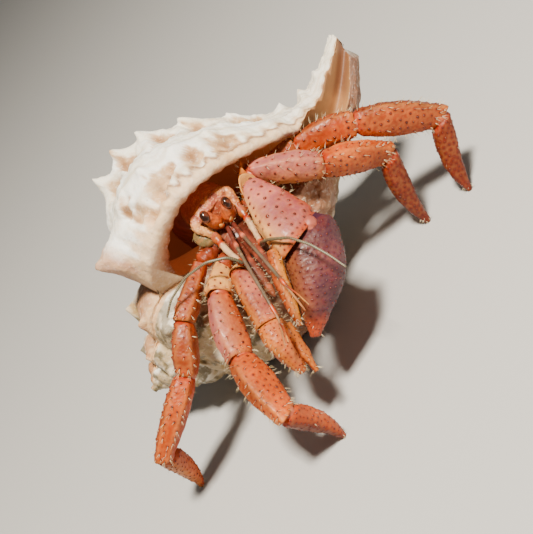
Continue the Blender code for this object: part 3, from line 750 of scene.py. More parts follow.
# ---- WALKING LEGS ------------------------------------------------------------------------------
# Two legs on each side, of four plates: thigh, knee plate, shank and a curved, pointed toe.  The
# legs are flattened from the side, orange on the flat faces and mauve along the top.
LEGS = {
    "leg_right_rear": ((-10.5, 7.0, 42.0), (-23.2, 0.4, 38.2), (-32.5, -3.5, 30.0),
                       (-51.5, -6.0, 20.5), (-54.5, 3.5, 0.0)),
    "leg_right_front": ((-7.5, 5.0, 38.0), (-12.5, -3.0, 37.5), (-20.0, -15.5, 28.5),
                        (-22.0, -32.0, 19.0), (-17.5, -28.5, 0.0)),
    "leg_left_front": ((9.8, 14.5, 40.0), (15.0, 11.5, 46.0), (28.0, 7.0, 36.0),
                       (42.5, 8.0, 23.5), (38.5, 8.0, 0.0)),
    "leg_left_rear": ((11.0, 20.5, 41.5), (27.5, 15.5, 40.0), (42.0, 11.0, 35.0),
                      (59.0, 6.5, 20.0), (51.5, 3.0, 0.0)),
}
THIGH = ((0.0, 1.8, 2.0, 0.0), (0.25, 2.2, 2.5, 0.0), (0.7, 2.8, 3.4, 0.0), (0.86, 3.0, 3.6, 0.0),
         (0.95, 2.8, 3.3, 0.0), (1.0, 2.4, 2.9, 0.0))
KNEE = ((0.0, 2.0, 2.4, 0.0), (0.12, 2.6, 3.0, 0.3), (0.4, 3.2, 3.8, 0.6), (0.72, 3.4, 4.0, 0.5),
        (0.90, 3.1, 3.6, 0.1), (1.0, 2.4, 2.9, 0.0))
SHANK = ((0.0, 2.3, 2.7, 0.0), (0.1, 2.9, 3.4, 0.2), (0.35, 3.3, 4.3, 0.5), (0.65, 3.2, 4.2, 0.5),
         (0.88, 2.7, 3.3, 0.1), (1.0, 2.1, 2.6, 0.0))
TOE = ((0.0, 2.1, 2.5, 0.0), (0.08, 2.6, 3.1, 0.1), (0.3, 2.5, 3.1, 0.8), (0.6, 2.0, 2.5, 1.3),
       (0.82, 1.4, 1.7, 1.0), (0.95, 0.8, 1.0, 0.3), (1.0, 0.5, 0.55, 0.0))
LEG_RIDGES = ((62, 0.10, 16), (118, 0.07, 16), (285, 0.05, 18))
LEG_COATS = {
    "leg_right_rear": (((90, ROSE), (0, ORANGE), (180, MAUVE), (270, ORANGE)),
                       ((90, ROSE), (0, ORANGE), (180, MAUVE), (270, ORANGE)),
                       ((90, ORANGE), (0, ORANGE), (180, ROSE), (270, ORANGE)),
                       ((90, ORANGE), (0, ORANGE), (180, ROSE), (270, TAN))),
    "leg_right_front": (((90, CREAM), (0, CREAM), (180, ROSE), (270, ORANGE)),
                        ((120, LILAC), (70, LILAC), (15, BLUSH), (180, ROSE), (320, ORANGE), (270, ORANGE)),
                        ((90, ROSE), (0, ORANGE), (180, ROSE), (270, ORANGE)),
                        ((90, ORANGE), (0, ORANGE), (180, ORANGE), (270, RUST))),
    "leg_left_front": (((90, TAN), (0, TAN), (180, ROSE), (270, ORANGE)),
                       ((90, LILAC), (40, LILAC), (0, BLUSH), (325, TAN), (180, TAN), (270, TAN)),
                       ((90, ORANGE), (0, ROSE), (180, MAUVE), (270, ORANGE)),
                       # painted shade: this toe is dark rust on all but its rear side
                       ((90, RUST), (0, RUST), (180, ROSE), (270, RUST))),
    "leg_left_rear": (((90, ROSE), (0, ROSE), (180, ROSE), (270, TAN)),
                      ((90, ROSE), (0, ORANGE), (180, MAUVE), (270, ORANGE)),
                      ((90, RUST), (0, ROSE), (180, MAUVE), (270, ORANGE)),
                      # painted shade: this toe is dark rust all round
                      ((90, RUST), (0, RUST), (180, RUST), (270, RUST))),
}
for leg, joints in LEGS.items():
    joints = [Vector(joint) for joint in joints]
    flank = (joints[2] - joints[1]).cross(joints[4] - joints[2]).normalized()
    if flank.y > 0.0:
        flank = -flank
    cuts = [joint_cuts(*joints[i - 1:i + 2]) for i in range(1, 4)]
    smooth_side = (lambda share, degrees: (degrees < 48 or degrees > 320)) if leg == "leg_right_rear" else None
    for i, (part, stations) in enumerate((("merus", THIGH), ("carpus", KNEE), ("propodus", SHANK),
                                          ("dactyl", TOE))):
        toe = part == "dactyl"
        piece = plate(leg + "_" + part, joints[i], joints[i + 1], flank, stations, LEG_COATS[leg][i],
                      start_cut=cuts[i - 1] if i else None, end_cut=None if toe else cuts[i],
                      rows=74 if part == "propodus" else 60, ridges=() if toe else LEG_RIDGES,
                      spacing=1.15 if toe else (1.8 if part == "propodus" else 2.2),
                      hair_length=1.2 if toe else 2.0, rim=(TAN, 0.55), neck=(RED, 0.8),
                      dot=0.22 if toe else 0.33, hairs=0.5 if toe else 1.0,
                      bare=None if toe else smooth_side)
        if toe:
            for corner in piece.data.vertices:
                corner.co.z = max(corner.co.z, 0.0)
    joint_skin(leg + "_joint_skin", [(joints[1], 2.5), (joints[2], 2.7), (joints[3], 2.5)])

# ---- CLAWS -------------------------------------------------------------------------------------
# The left claw is the large one and closes the mouth of the shell when the crab hides.  Its palm is
# purple, tan at the inner side, and its finger lies along the inner edge with the tips together.
ACROSS = Vector((0.9, 0.1, -0.4))
BIG = ((7.5, 6.0, 37.0), (11.5, 6.0, 44.5), (10.5, -9.5, 35.0), (-4.5, -21.0, 20.0))
WRIST = Vector((0.10, -0.51, -0.855))
big_cuts = [joint_cuts(*BIG[0:3]), (Vector(BIG[2]), WRIST)]
plate("claw_left_merus", BIG[0], BIG[1], ACROSS,
      ((0.0, 1.6, 1.6, 0.0), (0.3, 2.0, 2.0, 0.0), (0.8, 2.6, 2.4, 0.0), (1.0, 2.8, 2.6, 0.0)),
      ((90, TAN), (0, CREAM), (180, TAN), (270, ORANGE)), end_cut=big_cuts[0], rows=40)
plate("claw_left_carpus", BIG[1], BIG[2], ACROSS,
      ((0.0, 2.6, 2.4, 0.0), (0.15, 3.8, 3.2, 0.4), (0.45, 5.8, 4.6, 0.8), (0.8, 6.8, 5.2, 0.6),
       (1.0, 6.4, 5.0, 0.0)),
      ((120, LILAC), (85, LILAC), (60, LILAC), (30, RED), (0, ORANGE), (165, CREAM), (190, CREAM),
       (270, ORANGE)),
      start_cut=big_cuts[0], end_cut=big_cuts[1], rows=96, count=96,
      ridges=((165, 0.06, 16), (12, 0.07, 16)), spacing=2.2, dot=0.40, hairs=0.25,
      rim=(ORANGE, 0.8), neck=(ORANGE, 0.7))
PALM_ROOT = (11.3, -8.9, 35.8)
plate("claw_left_palm", PALM_ROOT, BIG[3], ACROSS,
      ((0.0, 4.4, 4.2, 0.0, 0.4), (0.05, 5.7, 5.1, 0.1, 1.7), (0.14, 6.8, 5.8, 0.3, 2.7),
       (0.36, 6.9, 6.3, 0.6, 3.3), (0.58, 5.8, 5.6, 0.5, 2.5), (0.75, 3.9, 4.2, 0.2, 1.4),
       (0.88, 2.4, 2.8, 0.0, 0.7), (1.0, 0.9, 1.0, 0.0, 0.0)),
      ((162, UMBER), (138, MAUVE), (115, PURPLE), (95, PURPLE), (70, PURPLE), (50, PURPLE), (0, PURPLE),
       (185, UMBER), (215, TAN), (270, ROSE)),
      start_cut=(Vector(PALM_ROOT), WRIST), neck_size=0.12, halo=0.05,
      rows=110, count=100, spacing=1.35, dot=0.25, hairs=0.15, neck=(PURPLE, 0.5),
      swell=0.14, tip=(0.42, 0.055, 0.012))
plate("claw_left_finger", (3.6, -9.6, 38.2), (-4.9, -20.2, 24.6), ACROSS,
      ((0.0, 0.9, 1.4, 0.0), (0.1, 1.5, 2.0, 0.0, 0.3), (0.4, 1.8, 2.1, 0.0, -0.4),
       (0.75, 1.5, 1.6, 0.0, -0.1), (1.0, 0.5, 0.6, 0.0)),
      ((105, ROSE), (45, (0.60, 0.22, 0.02)), (0, RUST), (180, ROSE), (270, ROSE)),
      rows=60, count=40, spacing=1.2, dot=0.18, hairs=1.0, hair_length=1.5, ridges=((110, 0.06, 20),))
HEAD_SIDE = Vector((0.966, 0.0, -0.259))


def banded(share, *bands):
    """Colours that change along a share of 0 to 1."""
    at = [band[0] for band in bands]
    return np.stack([np.interp(share, at, [band[1][k] for band in bands]) for k in range(3)], -1)


def sweep(name, node, path, sizes, shade, finish_, rows=80, count=24, side=HEAD_SIDE, blur=0.04,
          grain=0.0, hair=0, hair_length=1.4):
    """A smooth body along a path.  sizes are share, half width, half height; shade gives the colour."""
    path = np.array(path, float)
    reach = np.append(0.0, np.cumsum(np.linalg.norm(np.diff(path, axis=0), axis=1)))
    share = np.linspace(0.0, 1.0, rows)
    window = np.linspace(-blur, blur, 9) * (1.0 if len(path) > 2 else 0.0)
    centre = np.stack([np.mean([np.interp((share + shift) * reach[-1], reach, path[:, k])
                                for shift in window], axis=0) for k in range(3)], -1)
    tangent = np.gradient(centre, axis=0)
    tangent /= np.linalg.norm(tangent, axis=1, keepdims=True)
    sideways = np.array(side)
    sides = []
    for direction in tangent:
        sideways = sideways - direction * sideways.dot(direction)
        sideways = sideways / np.linalg.norm(sideways)
        sides.append(sideways)
    sides = np.array(sides)
    ups = np.cross(sides, tangent)
    if ups[0, 2] < 0.0:
        ups = -ups
    at = [size[0] for size in sizes]
    wide, high = (np.mean([np.interp(share + shift, at, [size[k] for size in sizes])
                           for shift in np.linspace(-0.015, 0.015, 7)], axis=0) for k in (1, 2))
    theta = 2.0 * math.pi * np.arange(count) / count
    around = np.cos(theta)[None, :, None] * sides[:, None] * wide[:, None, None] \
        + np.sin(theta)[None, :, None] * ups[:, None] * high[:, None, None]
    grid = centre[:, None] + around
    unit = around / (np.linalg.norm(around, axis=-1, keepdims=True) + 1e-9)
    if grain:
        lumps = cloudy(grid, 0.9, 2) + 0.6 * cloudy(grid + 30.0, 0.25, 2)
        grid = grid + unit * (grain * lumps)[..., None]
    colours = shade(share[:, None] + np.zeros(count), theta[None, :] + np.zeros(rows)[:, None], grid)
    piece = rings_to_mesh(name, grid)
    ends = np.vstack((colours[0].mean(axis=0), colours[-1].mean(axis=0)))
    paint(piece, np.vstack((colours.reshape(-1, 3), ends)))
    piece.data.materials.append(finish_)
    dice = random.Random(name)
    cell = next(atlas_cells)
    for _ in range(hair):
        i, j = dice.randrange(2, rows - 2), dice.randrange(count)
        spot = atlas_spot(cell, share[i], j, count)
        bristles.append((grid[i, j], unit[i, j], tangent[i], hair_length * (0.5 + 0.7 * dice.random()),
                         dice.random() - 0.5, dice.random() - 0.5, spot))
    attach(piece, "root")
    if node:
        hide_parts(node)


joint_skin("claw_left_joint_skin", [(BIG[1], 2.4), ((9.6, -9.0, 35.2), 4.3)])


def knob_shade(share, theta, grid):
    return banded(share, (0.0, (0.40, 0.10, 0.06)), (0.6, (0.46, 0.13, 0.09)), (1.0, (0.34, 0.08, 0.06)))


sweep("wrist_knob", None, ((12.6, -12.5, 34.9), (16.0, -11.1, 37.6)),
      ((0.0, 0.3, 0.3), (0.08, 1.1, 1.1), (0.25, 1.8, 1.8), (0.5, 2.1, 2.1), (0.75, 1.8, 1.8),
       (0.92, 1.1, 1.1), (1.0, 0.3, 0.3)), knob_shade, waxy_finish, rows=40, count=32)

SMALL_ACROSS = Vector((0.85, 0.2, -0.45))
SMALL = ((-3.9, 4.5, 34.8), (-5.8, -3.2, 37.4), (-9.8, -15.0, 28.8), (-12.6, -24.5, 18.0))
small_cuts = [joint_cuts(*SMALL[i - 1:i + 2]) for i in (1, 2)]
plate("claw_right_merus", SMALL[0], SMALL[1], SMALL_ACROSS,
      ((0.0, 1.2, 1.2, 0.0), (0.3, 1.4, 1.3, 0.0), (0.8, 1.9, 1.8, 0.0), (1.0, 2.2, 2.0, 0.0)),
      ((90, CREAM), (0, TAN), (180, CREAM), (270, ORANGE)), end_cut=small_cuts[0], rows=40)
plate("claw_right_carpus", SMALL[1], SMALL[2], SMALL_ACROSS,
      ((0.0, 2.0, 2.0, 0.0), (0.12, 2.4, 2.4, 0.3), (0.5, 2.9, 2.8, 0.5), (0.9, 3.1, 3.0, 0.3),
       (1.0, 3.0, 2.8, 0.0)),
      ((110, ROSE), (65, LILAC), (15, TAN), (165, TAN), (270, ORANGE)), start_cut=small_cuts[0],
      end_cut=small_cuts[1],
      ridges=((25, 0.07, 18), (160, 0.07, 18)), spacing=1.6, dot=0.24, hairs=0.8, rim=(TAN, 0.6))
plate("claw_right_palm", SMALL[2], SMALL[3], SMALL_ACROSS,
      ((0.0, 2.9, 2.6, 0.0), (0.15, 3.5, 3.0, 0.2, 0.1), (0.38, 3.4, 3.0, 0.3, -0.2),
       (0.65, 2.7, 2.4, 0.2, -0.2), (0.88, 1.7, 1.5, 0.0, 0.1), (1.0, 0.7, 0.7, 0.0)),
      ((90, ROSE), (60, BLUSH), (20, TAN), (165, TAN), (270, ORANGE)), start_cut=small_cuts[1],
      spacing=1.0, dot=0.19, hairs=0.5, neck=(TAN, 0.5), tip=(0.30, 0.060, 0.010),
      ridges=((25, 0.06, 16), (160, 0.06, 16)))
plate("claw_right_finger", (-6.4, -18.2, 26.2), (-9.8, -26.4, 16.6), SMALL_ACROSS,
      ((0.0, 1.0, 1.1, 0.0, -0.5), (0.15, 1.5, 1.7, 0.0, -0.9), (0.6, 1.35, 1.4, 0.0, -0.7),
       (1.0, 0.5, 0.5, 0.0, -0.4)),
      ((90, TAN), (0, TAN), (180, RUST), (270, ORANGE)), rows=50, count=36, spacing=0.95, dot=0.17,
      hairs=0.9)
joint_skin("claw_right_joint_skin", [(SMALL[1], 1.9), (SMALL[2], 2.5)])

# ---- HEAD AND BODY -----------------------------------------------------------------------------
# Under the lip sits the front of the shield, granular and rosy with a golden rim.  Before it stand
# the two short eyestalks, the jointed feelers and the hairy outer mouthparts; the soft abdomen
# coils away into the shell behind.
PINK = (0.38, 0.095, 0.060)
GOLD = (0.66, 0.30, 0.060)
MOSS = (0.17, 0.120, 0.045)
MAROON = (0.085, 0.016, 0.010)
HORN = (0.075, 0.052, 0.032)
MILK = (0.60, 0.37, 0.20)


# granules: pale grains standing on the rosy skin of the shield
shield_finish, surface, start = new_finish("granular_shield")
position = start.use("ShaderNodeTexCoord", out=3)
tone = start.use("ShaderNodeAttribute", {"attribute_name": "tone"})
grains = start.use("ShaderNodeTexVoronoi", Vector=position, Scale=1500.0)
cloud = start.use("ShaderNodeTexNoise", Vector=position, Scale=350.0, Detail=4.0)
colour = tone.tint((0.72, 0.40, 0.20, 1.0), (1.0 - grains.step(0.12, 0.42)) * 0.42)
colour = colour.tint((0.16, 0.02, 0.01, 1.0), (1.0 - cloud.step(0.30, 0.50)) * 0.45)
settle(start, surface, colour, cloud * 0.3 + 0.30, 1.0 - grains.step(0.0, 0.6), 0.6, 0.0002)
soften(surface, 0.12, (1.0, 0.35, 0.15), 0.0015)

# the smooth skin of stalks, feelers and soft parts
supple_finish, surface, start = new_finish("supple_skin")
position = start.use("ShaderNodeTexCoord", out=3)
tone = start.use("ShaderNodeAttribute", {"attribute_name": "tone"})
cloud = start.use("ShaderNodeTexNoise", Vector=position, Scale=500.0, Detail=4.0)
colour = tone.tint((0.12, 0.02, 0.01, 1.0), (1.0 - cloud.step(0.32, 0.52)) * 0.40)
colour = colour.tint((0.80, 0.46, 0.22, 1.0), cloud.step(0.58, 0.78) * 0.25)
settle(start, surface, colour, cloud * 0.3 + 0.22, cloud, 0.4, 0.0002)
soften(surface, 0.15, (1.0, 0.35, 0.15), 0.0012)

# the eye: black-brown and polished, with a warm ring seen through it
eye_finish, surface, start = new_finish("cornea")
tone = start.use("ShaderNodeAttribute", {"attribute_name": "tone"})
position = start.use("ShaderNodeTexCoord", out=3)
facets = start.use("ShaderNodeTexVoronoi", Vector=position, Scale=9000.0)
colour = tone.tint((0.30, 0.09, 0.03, 1.0), facets.step(0.4, 0.8) * 0.08)
settle(start, surface, colour, 0.16)
surface.inputs["Specular IOR Level"].default_value = 0.25
surface.inputs["Coat Weight"].default_value = 0.3
surface.inputs["Coat Roughness"].default_value = 0.06

# shield and thorax: the rim turns in round the face
def shield_shade(share, theta, grid):
    mottle = cloudy(grid, 0.6)
    upper = np.sin(theta)
    return layered(
        np.tile(PINK, (*share.shape, 1)),
        (MOSS, 0.9 * (1.0 - ease(upper + 0.5 * mottle, -0.35, 0.25)) * ease(share, 0.06, 0.14)),
        ((0.30, 0.055, 0.018), 1.0 - ease(share, 0.012, 0.024)),
        (GOLD, 0.35 * bell(share + 0.01 * mottle, 0.045, 0.022) * (1.0 - 0.8 * ease(upper, 0.3, 0.8))),
        ((0.62, 0.20, 0.07), 0.5 * ease(mottle, 0.1, 0.5)))


sweep("thorax_shield", "thorax",
      ((1.4, 8.0, 46.9), (1.5, 9.5, 46.9), (1.9, 13.0, 46.3), (1.4, 18.0, 45.8), (0.4, 24.0, 45.8)),
      ((0.0, 1.0, 0.8), (0.012, 4.4, 3.6), (0.03, 5.4, 4.5), (0.06, 5.9, 5.0), (0.1, 6.2, 5.3),
       (0.25, 6.5, 5.8), (0.5, 6.6, 6.2), (0.8, 6.6, 6.6), (0.96, 6.0, 6.0), (1.0, 4.6, 4.6)),
      shield_shade, shield_finish, rows=130, count=90, blur=0.03, grain=0.16)

# a granular hood over the eyes, drawn down into a cheek on each side with a pale lower edge
def hood_shade(share, theta, grid):
    mottle = cloudy(grid, 0.8)
    return layered(
        banded(share, (0.0, GOLD), (0.22, (0.68, 0.34, 0.12)), (0.32, (0.46, 0.105, 0.060)),
               (0.62, (0.48, 0.115, 0.060)), (0.72, (0.44, 0.15, 0.055)), (1.0, TAN)),
        ((0.70, 0.26, 0.06), 0.8 * ease(mottle, 0.0, 0.4)),
        ((0.22, 0.035, 0.012), 0.6 * ease(-mottle, 0.05, 0.4)))


def flank_shade(share, theta, grid):
    return layered(np.tile(MOSS, (*share.shape, 1)),
                   ((0.34, 0.15, 0.045), 0.7 * ease(cloudy(grid, 0.7), -0.1, 0.4)))


sweep("shield_hood", None,
      ((-2.7, 5.3, 44.4), (-3.3, 6.1, 46.4), (-4.6, 7.1, 49.2), (-3.6, 7.7, 50.3), (-0.2, 8.5, 50.8),
       (3.4, 9.2, 50.6), (6.4, 9.6, 50.1), (7.5, 9.2, 49.4), (7.4, 7.9, 47.6), (6.7, 6.6, 45.7),
       (5.9, 5.2, 44.2)),
      ((0.0, 0.4, 0.4), (0.04, 0.9, 0.8), (0.2, 1.2, 0.9), (0.3, 1.5, 0.9), (0.5, 1.7, 0.9), (0.66, 1.4, 0.9),
       (0.8, 1.2, 0.9), (0.96, 0.9, 0.8), (1.0, 0.4, 0.4)),
      hood_shade, shield_finish, rows=190, count=48, side=Vector((-0.8, 0.2, 0.3)), blur=0.025,
      grain=0.16, hair=24, hair_length=0.7)
sweep("shield_flank", None, ((-5.2, 10.0, 47.8), (-5.0, 8.6, 45.8), (-4.1, 6.6, 43.2)),
      ((0.0, 0.8, 0.8), (0.15, 2.2, 1.6), (0.5, 2.6, 1.8), (0.85, 1.9, 1.4), (1.0, 0.7, 0.6)),
      flank_shade, supple_finish, rows=60, count=40, grain=0.2, hair=20, hair_length=1.0)

# the soft abdomen, coiled into the shell, with bands of painted shade across it for its creases
def abdomen_shade(share, theta, grid):
    crease_shade = 0.5 + 0.5 * np.sin(share * 70.0)
    return np.tile((0.34, 0.10, 0.075), (*share.shape, 1)) * (0.75 + 0.25 * crease_shade[..., None])


abdomen_path = [on_shell(turn_, 53.0 * SHRINK ** -turn_, 22.0 * SHRINK ** -turn_)
                for turn_ in (-0.115, -0.14, -0.17, -0.21, -0.25, -0.29, -0.33, -0.365)]
sweep("soft_abdomen", "abdomen", abdomen_path,
      ((0.0, 5.6, 5.2), (0.02, 6.4, 6.0), (0.15, 7.6, 7.0), (0.4, 7.7, 7.1), (0.7, 6.6, 5.9), (0.92, 4.2, 3.4),
       (1.0, 2.2, 1.6)),
      abdomen_shade, supple_finish, rows=90, count=48, side=Vector((1.0, 0.0, 0.2)), grain=0.25)

# eyestalks: short, stout and orange, with the cornea wrapped over the tip and a small pointed scale
# at each root
def stalk_shade(share, theta, grid):
    tone = banded(share, (0.0, RED), (0.12, ORANGE), (0.6, (0.62, 0.12, 0.012)),
                  (0.88, (0.56, 0.12, 0.03)), (1.0, RED))
    streak = (0.7 + 0.3 * np.sin(theta * 5.0 + 7.0 * share) ** 2)[..., None]
    return layered(tone, ((0.20, 0.050, 0.025), 0.45 * ease(cloudy(grid, 0.9), 0.05, 0.4))) * streak


def eye_shade(share, theta, grid):
    warmth = 0.09 * ease(cloudy(grid, 1.1, 2), 0.0, 0.5)[..., None] * (1.0, 0.22, 0.08)
    return warmth + banded(share, (0.0, (0.20, 0.035, 0.015)), (0.10, (0.05, 0.012, 0.008)),
                           (0.22, (0.016, 0.008, 0.006)), (0.36, (0.016, 0.008, 0.006)),
                           (0.46, (0.14, 0.030, 0.012)), (0.56, (0.10, 0.022, 0.010)),
                           (0.66, (0.012, 0.006, 0.005)), (1.0, (0.012, 0.006, 0.005)))


def scale_shade(share, theta, grid):
    return banded(share, (0.0, RUST), (0.4, ORANGE), (0.8, GOLD), (1.0, CREAM))


for name, root, tip in (("right", (0.3, 6.8, 45.4), (-1.0, 4.8, 50.7)),
                        ("left", (2.7, 6.4, 44.9), (5.1, 4.3, 49.2))):
    root, tip = Vector(root), Vector(tip)
    rise = (tip - root).normalized()
    sweep("eyestalk_" + name + "_skin", "eyestalk_" + name,
          (root, root.lerp(tip, 0.5) + Vector((0, -0.3, 0)), tip),
          ((0.0, 0.9, 0.9), (0.05, 1.6, 1.6), (0.3, 1.85, 1.8), (0.6, 1.6, 1.6), (0.85, 1.55, 1.55),
           (0.95, 1.3, 1.3), (1.0, 0.6, 0.6)),
          stalk_shade, supple_finish, rows=60, count=32, grain=0.10)
    facing = (rise * 0.55 + Vector((0.0, -0.80, 0.12))).normalized()
    heart = tip - rise * 0.25 + facing * 0.55
    sweep("cornea_" + name + "_dome", "cornea_" + name, (heart, heart + facing * 1.15),
          ((0.0, 1.2, 1.80), (0.3, 1.15, 1.72), (0.55, 1.02, 1.52), (0.75, 0.80, 1.20), (0.9, 0.50, 0.75),
           (0.97, 0.26, 0.36), (1.0, 0.08, 0.11)),
          eye_shade, eye_finish, rows=40, count=40)
    foot = root + Vector((0.0, -2.0, -0.1)) - rise * 0.2
    sweep("eye_scale_" + name, None, (foot, foot + rise * 0.9, foot + rise * 1.7 + Vector((0.0, -0.1, 0.0))),
          ((0.0, 0.3, 0.3), (0.1, 0.7, 0.45), (0.5, 0.6, 0.4), (0.85, 0.25, 0.2), (1.0, 0.05, 0.05)),
          scale_shade, supple_finish, rows=30, count=16, hair=6, hair_length=0.8)

# second feelers: a short root, an orange ring, a long milk-white article, a second orange ring, and
# then the ringed, tapering lash
def base_shade(share, theta, grid):
    tone = banded(share, (0.0, PINK), (0.22, TAN), (0.28, RED), (0.34, ORANGE), (0.40, MILK), (0.85, MILK),
                  (0.90, ORANGE), (1.0, ORANGE))
    # painted shade: the long white article is darkened towards horn on its underside
    under = ease(-np.sin(theta), 0.1, 0.7) * bell(share, 0.62, 0.2)
    return layered(tone, (HORN, 0.8 * under))


RING_COUNT = 62


def lash_shade(share, theta, grid):
    # painted shade in the grooves between the rings and painted highlight on the rings themselves
    bead_light_and_groove_shade = 0.5 + 0.5 * np.cos(2.0 * math.pi * RING_COUNT * share)
    tone = banded(share, (0.0, (0.11, 0.085, 0.045)), (0.3, (0.15, 0.125, 0.070)),
                  (1.0, (0.20, 0.175, 0.11)))
    return tone * (0.30 + 0.95 * bead_light_and_groove_shade[..., None])


lash_sizes = [(0.0, 0.25, 0.25)]
for k in range(RING_COUNT * 3):
    share = 0.01 + 0.98 * k / (RING_COUNT * 3)
    thick = (0.46 - 0.20 * share) * (1.06 if k % 3 else 0.84)
    lash_sizes.append((share, thick, thick))
lash_sizes.append((1.0, 0.10, 0.10))
for name, base_path, lash in (
        ("left", ((6.4, 6.4, 45.2), (6.3, 5.0, 44.1), (5.0, 0.6, 41.4), (3.3, -5.2, 38.7)),
         ((3.2, -5.6, 38.9), (3.3, -6.5, 40.2), (5.0, -11.0, 41.5), (8.5, -17.5, 41.0), (10.5, -22.0, 38.0),
          (11.5, -26.0, 34.5), (12.0, -29.5, 31.0))),
        ("right", ((-2.8, 6.4, 45.2), (-3.0, 5.0, 44.6), (-3.5, -0.6, 42.2), (-3.2, -6.4, 39.7)),
         ((-3.1, -6.8, 39.9), (-3.2, -7.2, 41.2), (-4.5, -6.5, 44.0), (-9.0, -4.5, 46.5), (-15.0, -2.5, 47.0),
          (-21.5, -2.0, 45.5), (-25.5, -2.0, 43.0)))):
    sweep("antenna_root_" + name, "antenna_base_" + name, base_path,
          ((0.0, 0.5, 0.6), (0.04, 1.15, 1.2), (0.18, 1.25, 1.3), (0.24, 0.95, 1.0), (0.27, 0.78, 0.8),
           (0.31, 1.0, 1.05), (0.36, 0.95, 1.0), (0.39, 0.72, 0.75), (0.46, 0.82, 0.88), (0.65, 0.74, 0.80),
           (0.84, 0.70, 0.74), (0.87, 0.62, 0.62), (0.91, 0.86, 0.86), (0.96, 0.80, 0.80), (1.0, 0.35, 0.35)),
          base_shade, supple_finish, rows=150, count=28, grain=0.06, hair=10, hair_length=0.8)
    sweep("antenna_lash_" + name, "antenna_" + name, lash, lash_sizes, lash_shade, supple_finish,
          rows=RING_COUNT * 6, count=10)

# first feelers: slender brown rods in three articles with orange joints, ending in two fine threads
def rod_shade(share, theta, grid):
    tone = banded(share, (0.0, MAROON), (0.16, MAROON), (0.20, (0.52, 0.12, 0.06)), (0.23, HORN),
                  (0.58, (0.11, 0.078, 0.052)), (0.72, HORN), (0.745, ORANGE), (0.775, ORANGE),
                  (0.80, (0.24, 0.12, 0.05)), (1.0, (0.36, 0.13, 0.04)))
    shine = 0.75 + 0.5 * ease(np.sin(theta), -0.2, 0.9)
    return tone * shine[..., None]


for name, path in (("left", ((2.6, 5.0, 44.0), (2.0, 0.0, 43.5), (1.0, -11.5, 39.5), (0.0, -21.5, 36.5),
                             (-1.5, -26.5, 29.5))),
                   ("right", ((1.0, 5.0, 44.4), (-0.5, 0.0, 43.0), (-2.5, -9.0, 41.0), (-5.5, -21.0, 36.0),
                              (-7.0, -25.0, 32.5), (-11.0, -27.5, 27.5)))):
    sweep("antennule_rod_" + name, "antennule_" + name, path,
          ((0.0, 0.5, 0.5), (0.02, 0.62, 0.62), (0.17, 0.52, 0.52), (0.19, 0.64, 0.64), (0.215, 0.60, 0.60),
           (0.235, 0.44, 0.44), (0.5, 0.47, 0.47), (0.72, 0.42, 0.42), (0.745, 0.54, 0.54),
           (0.78, 0.50, 0.50), (0.80, 0.34, 0.34), (0.97, 0.24, 0.24), (1.0, 0.12, 0.12)),
          rod_shade, supple_finish, rows=200, count=14, hair=14, hair_length=0.7)
    joint_at, tip_at = Vector(path[-2]).lerp(Vector(path[-1]), 0.1), Vector(path[-1])
    sweep("antennule_thread_" + name, None,
          (joint_at + Vector((0.0, -0.3, 0.3)), joint_at.lerp(tip_at, 0.5) + Vector((1.0, -0.2, 0.4)),
           tip_at + Vector((1.6, 0.2, 0.6))),
          ((0.0, 0.16, 0.16), (0.1, 0.24, 0.24), (1.0, 0.09, 0.09)), scale_shade, supple_finish,
          rows=40, count=10)

# outer mouthparts: hairy palps hanging under the face, and the rusty bases of the limbs
def palp_shade(share, theta, grid):
    tone = banded(share, (0.0, MAROON), (0.35, (0.13, 0.030, 0.016)), (0.42, (0.30, 0.06, 0.03)),
                  (0.48, (0.12, 0.03, 0.018)), (0.78, (0.15, 0.045, 0.025)), (0.84, (0.32, 0.08, 0.03)),
                  (1.0, (0.16, 0.06, 0.03)))
    # painted light and shade: each palp is lighter along its top and darker beneath, and its own dark
    # red-brown is deepened as painted shade under the face
    return tone * (0.8 + 0.5 * ease(np.sin(theta), 0.0, 1.0))[..., None]


for name, root, tip in (("left", (2.2, 5.2, 40.2), (-0.2, -9.5, 27.5)),
                        ("right", (-0.8, 5.2, 40.8), (-4.0, -9.5, 28.5))):
    root, tip = Vector(root), Vector(tip)
    sweep("palp_" + name, "maxilliped_" + name, (root, root.lerp(tip, 0.45) + Vector((0.0, -0.9, 0.8)), tip),
          ((0.0, 0.8, 0.8), (0.04, 1.6, 1.6), (0.3, 1.8, 1.9), (0.40, 1.4, 1.4), (0.44, 1.7, 1.7),
           (0.7, 1.6, 1.6), (0.80, 1.1, 1.1), (0.84, 1.3, 1.3), (0.96, 0.7, 0.8), (1.0, 0.2, 0.3)),
          palp_shade, waxy_finish, rows=90, count=28, side=Vector((1.0, 0.0, -0.2)), grain=0.10,
          hair=90, hair_length=1.6)


def underside_shade(share, theta, grid):
    # painted shade: the breast's own red-brown is darkened to maroon for the shade under the head
    tone = banded(share, (0.0, (0.20, 0.045, 0.02)), (0.5, MAROON), (1.0, (0.16, 0.03, 0.015)))
    return tone * (1.0 + 0.8 * cloudy(grid, 0.5)[..., None])


def hip_shade(share, theta, grid):
    # painted shade: each limb's base darkens to maroon at the body, for the shade under the head
    tone = banded(share, (0.0, MAROON), (0.4, (0.14, 0.022, 0.007)), (0.85, (0.30, 0.045, 0.010)),
                  (1.0, RUST))
    return tone * (1.0 + 0.6 * cloudy(grid, 0.6)[..., None])


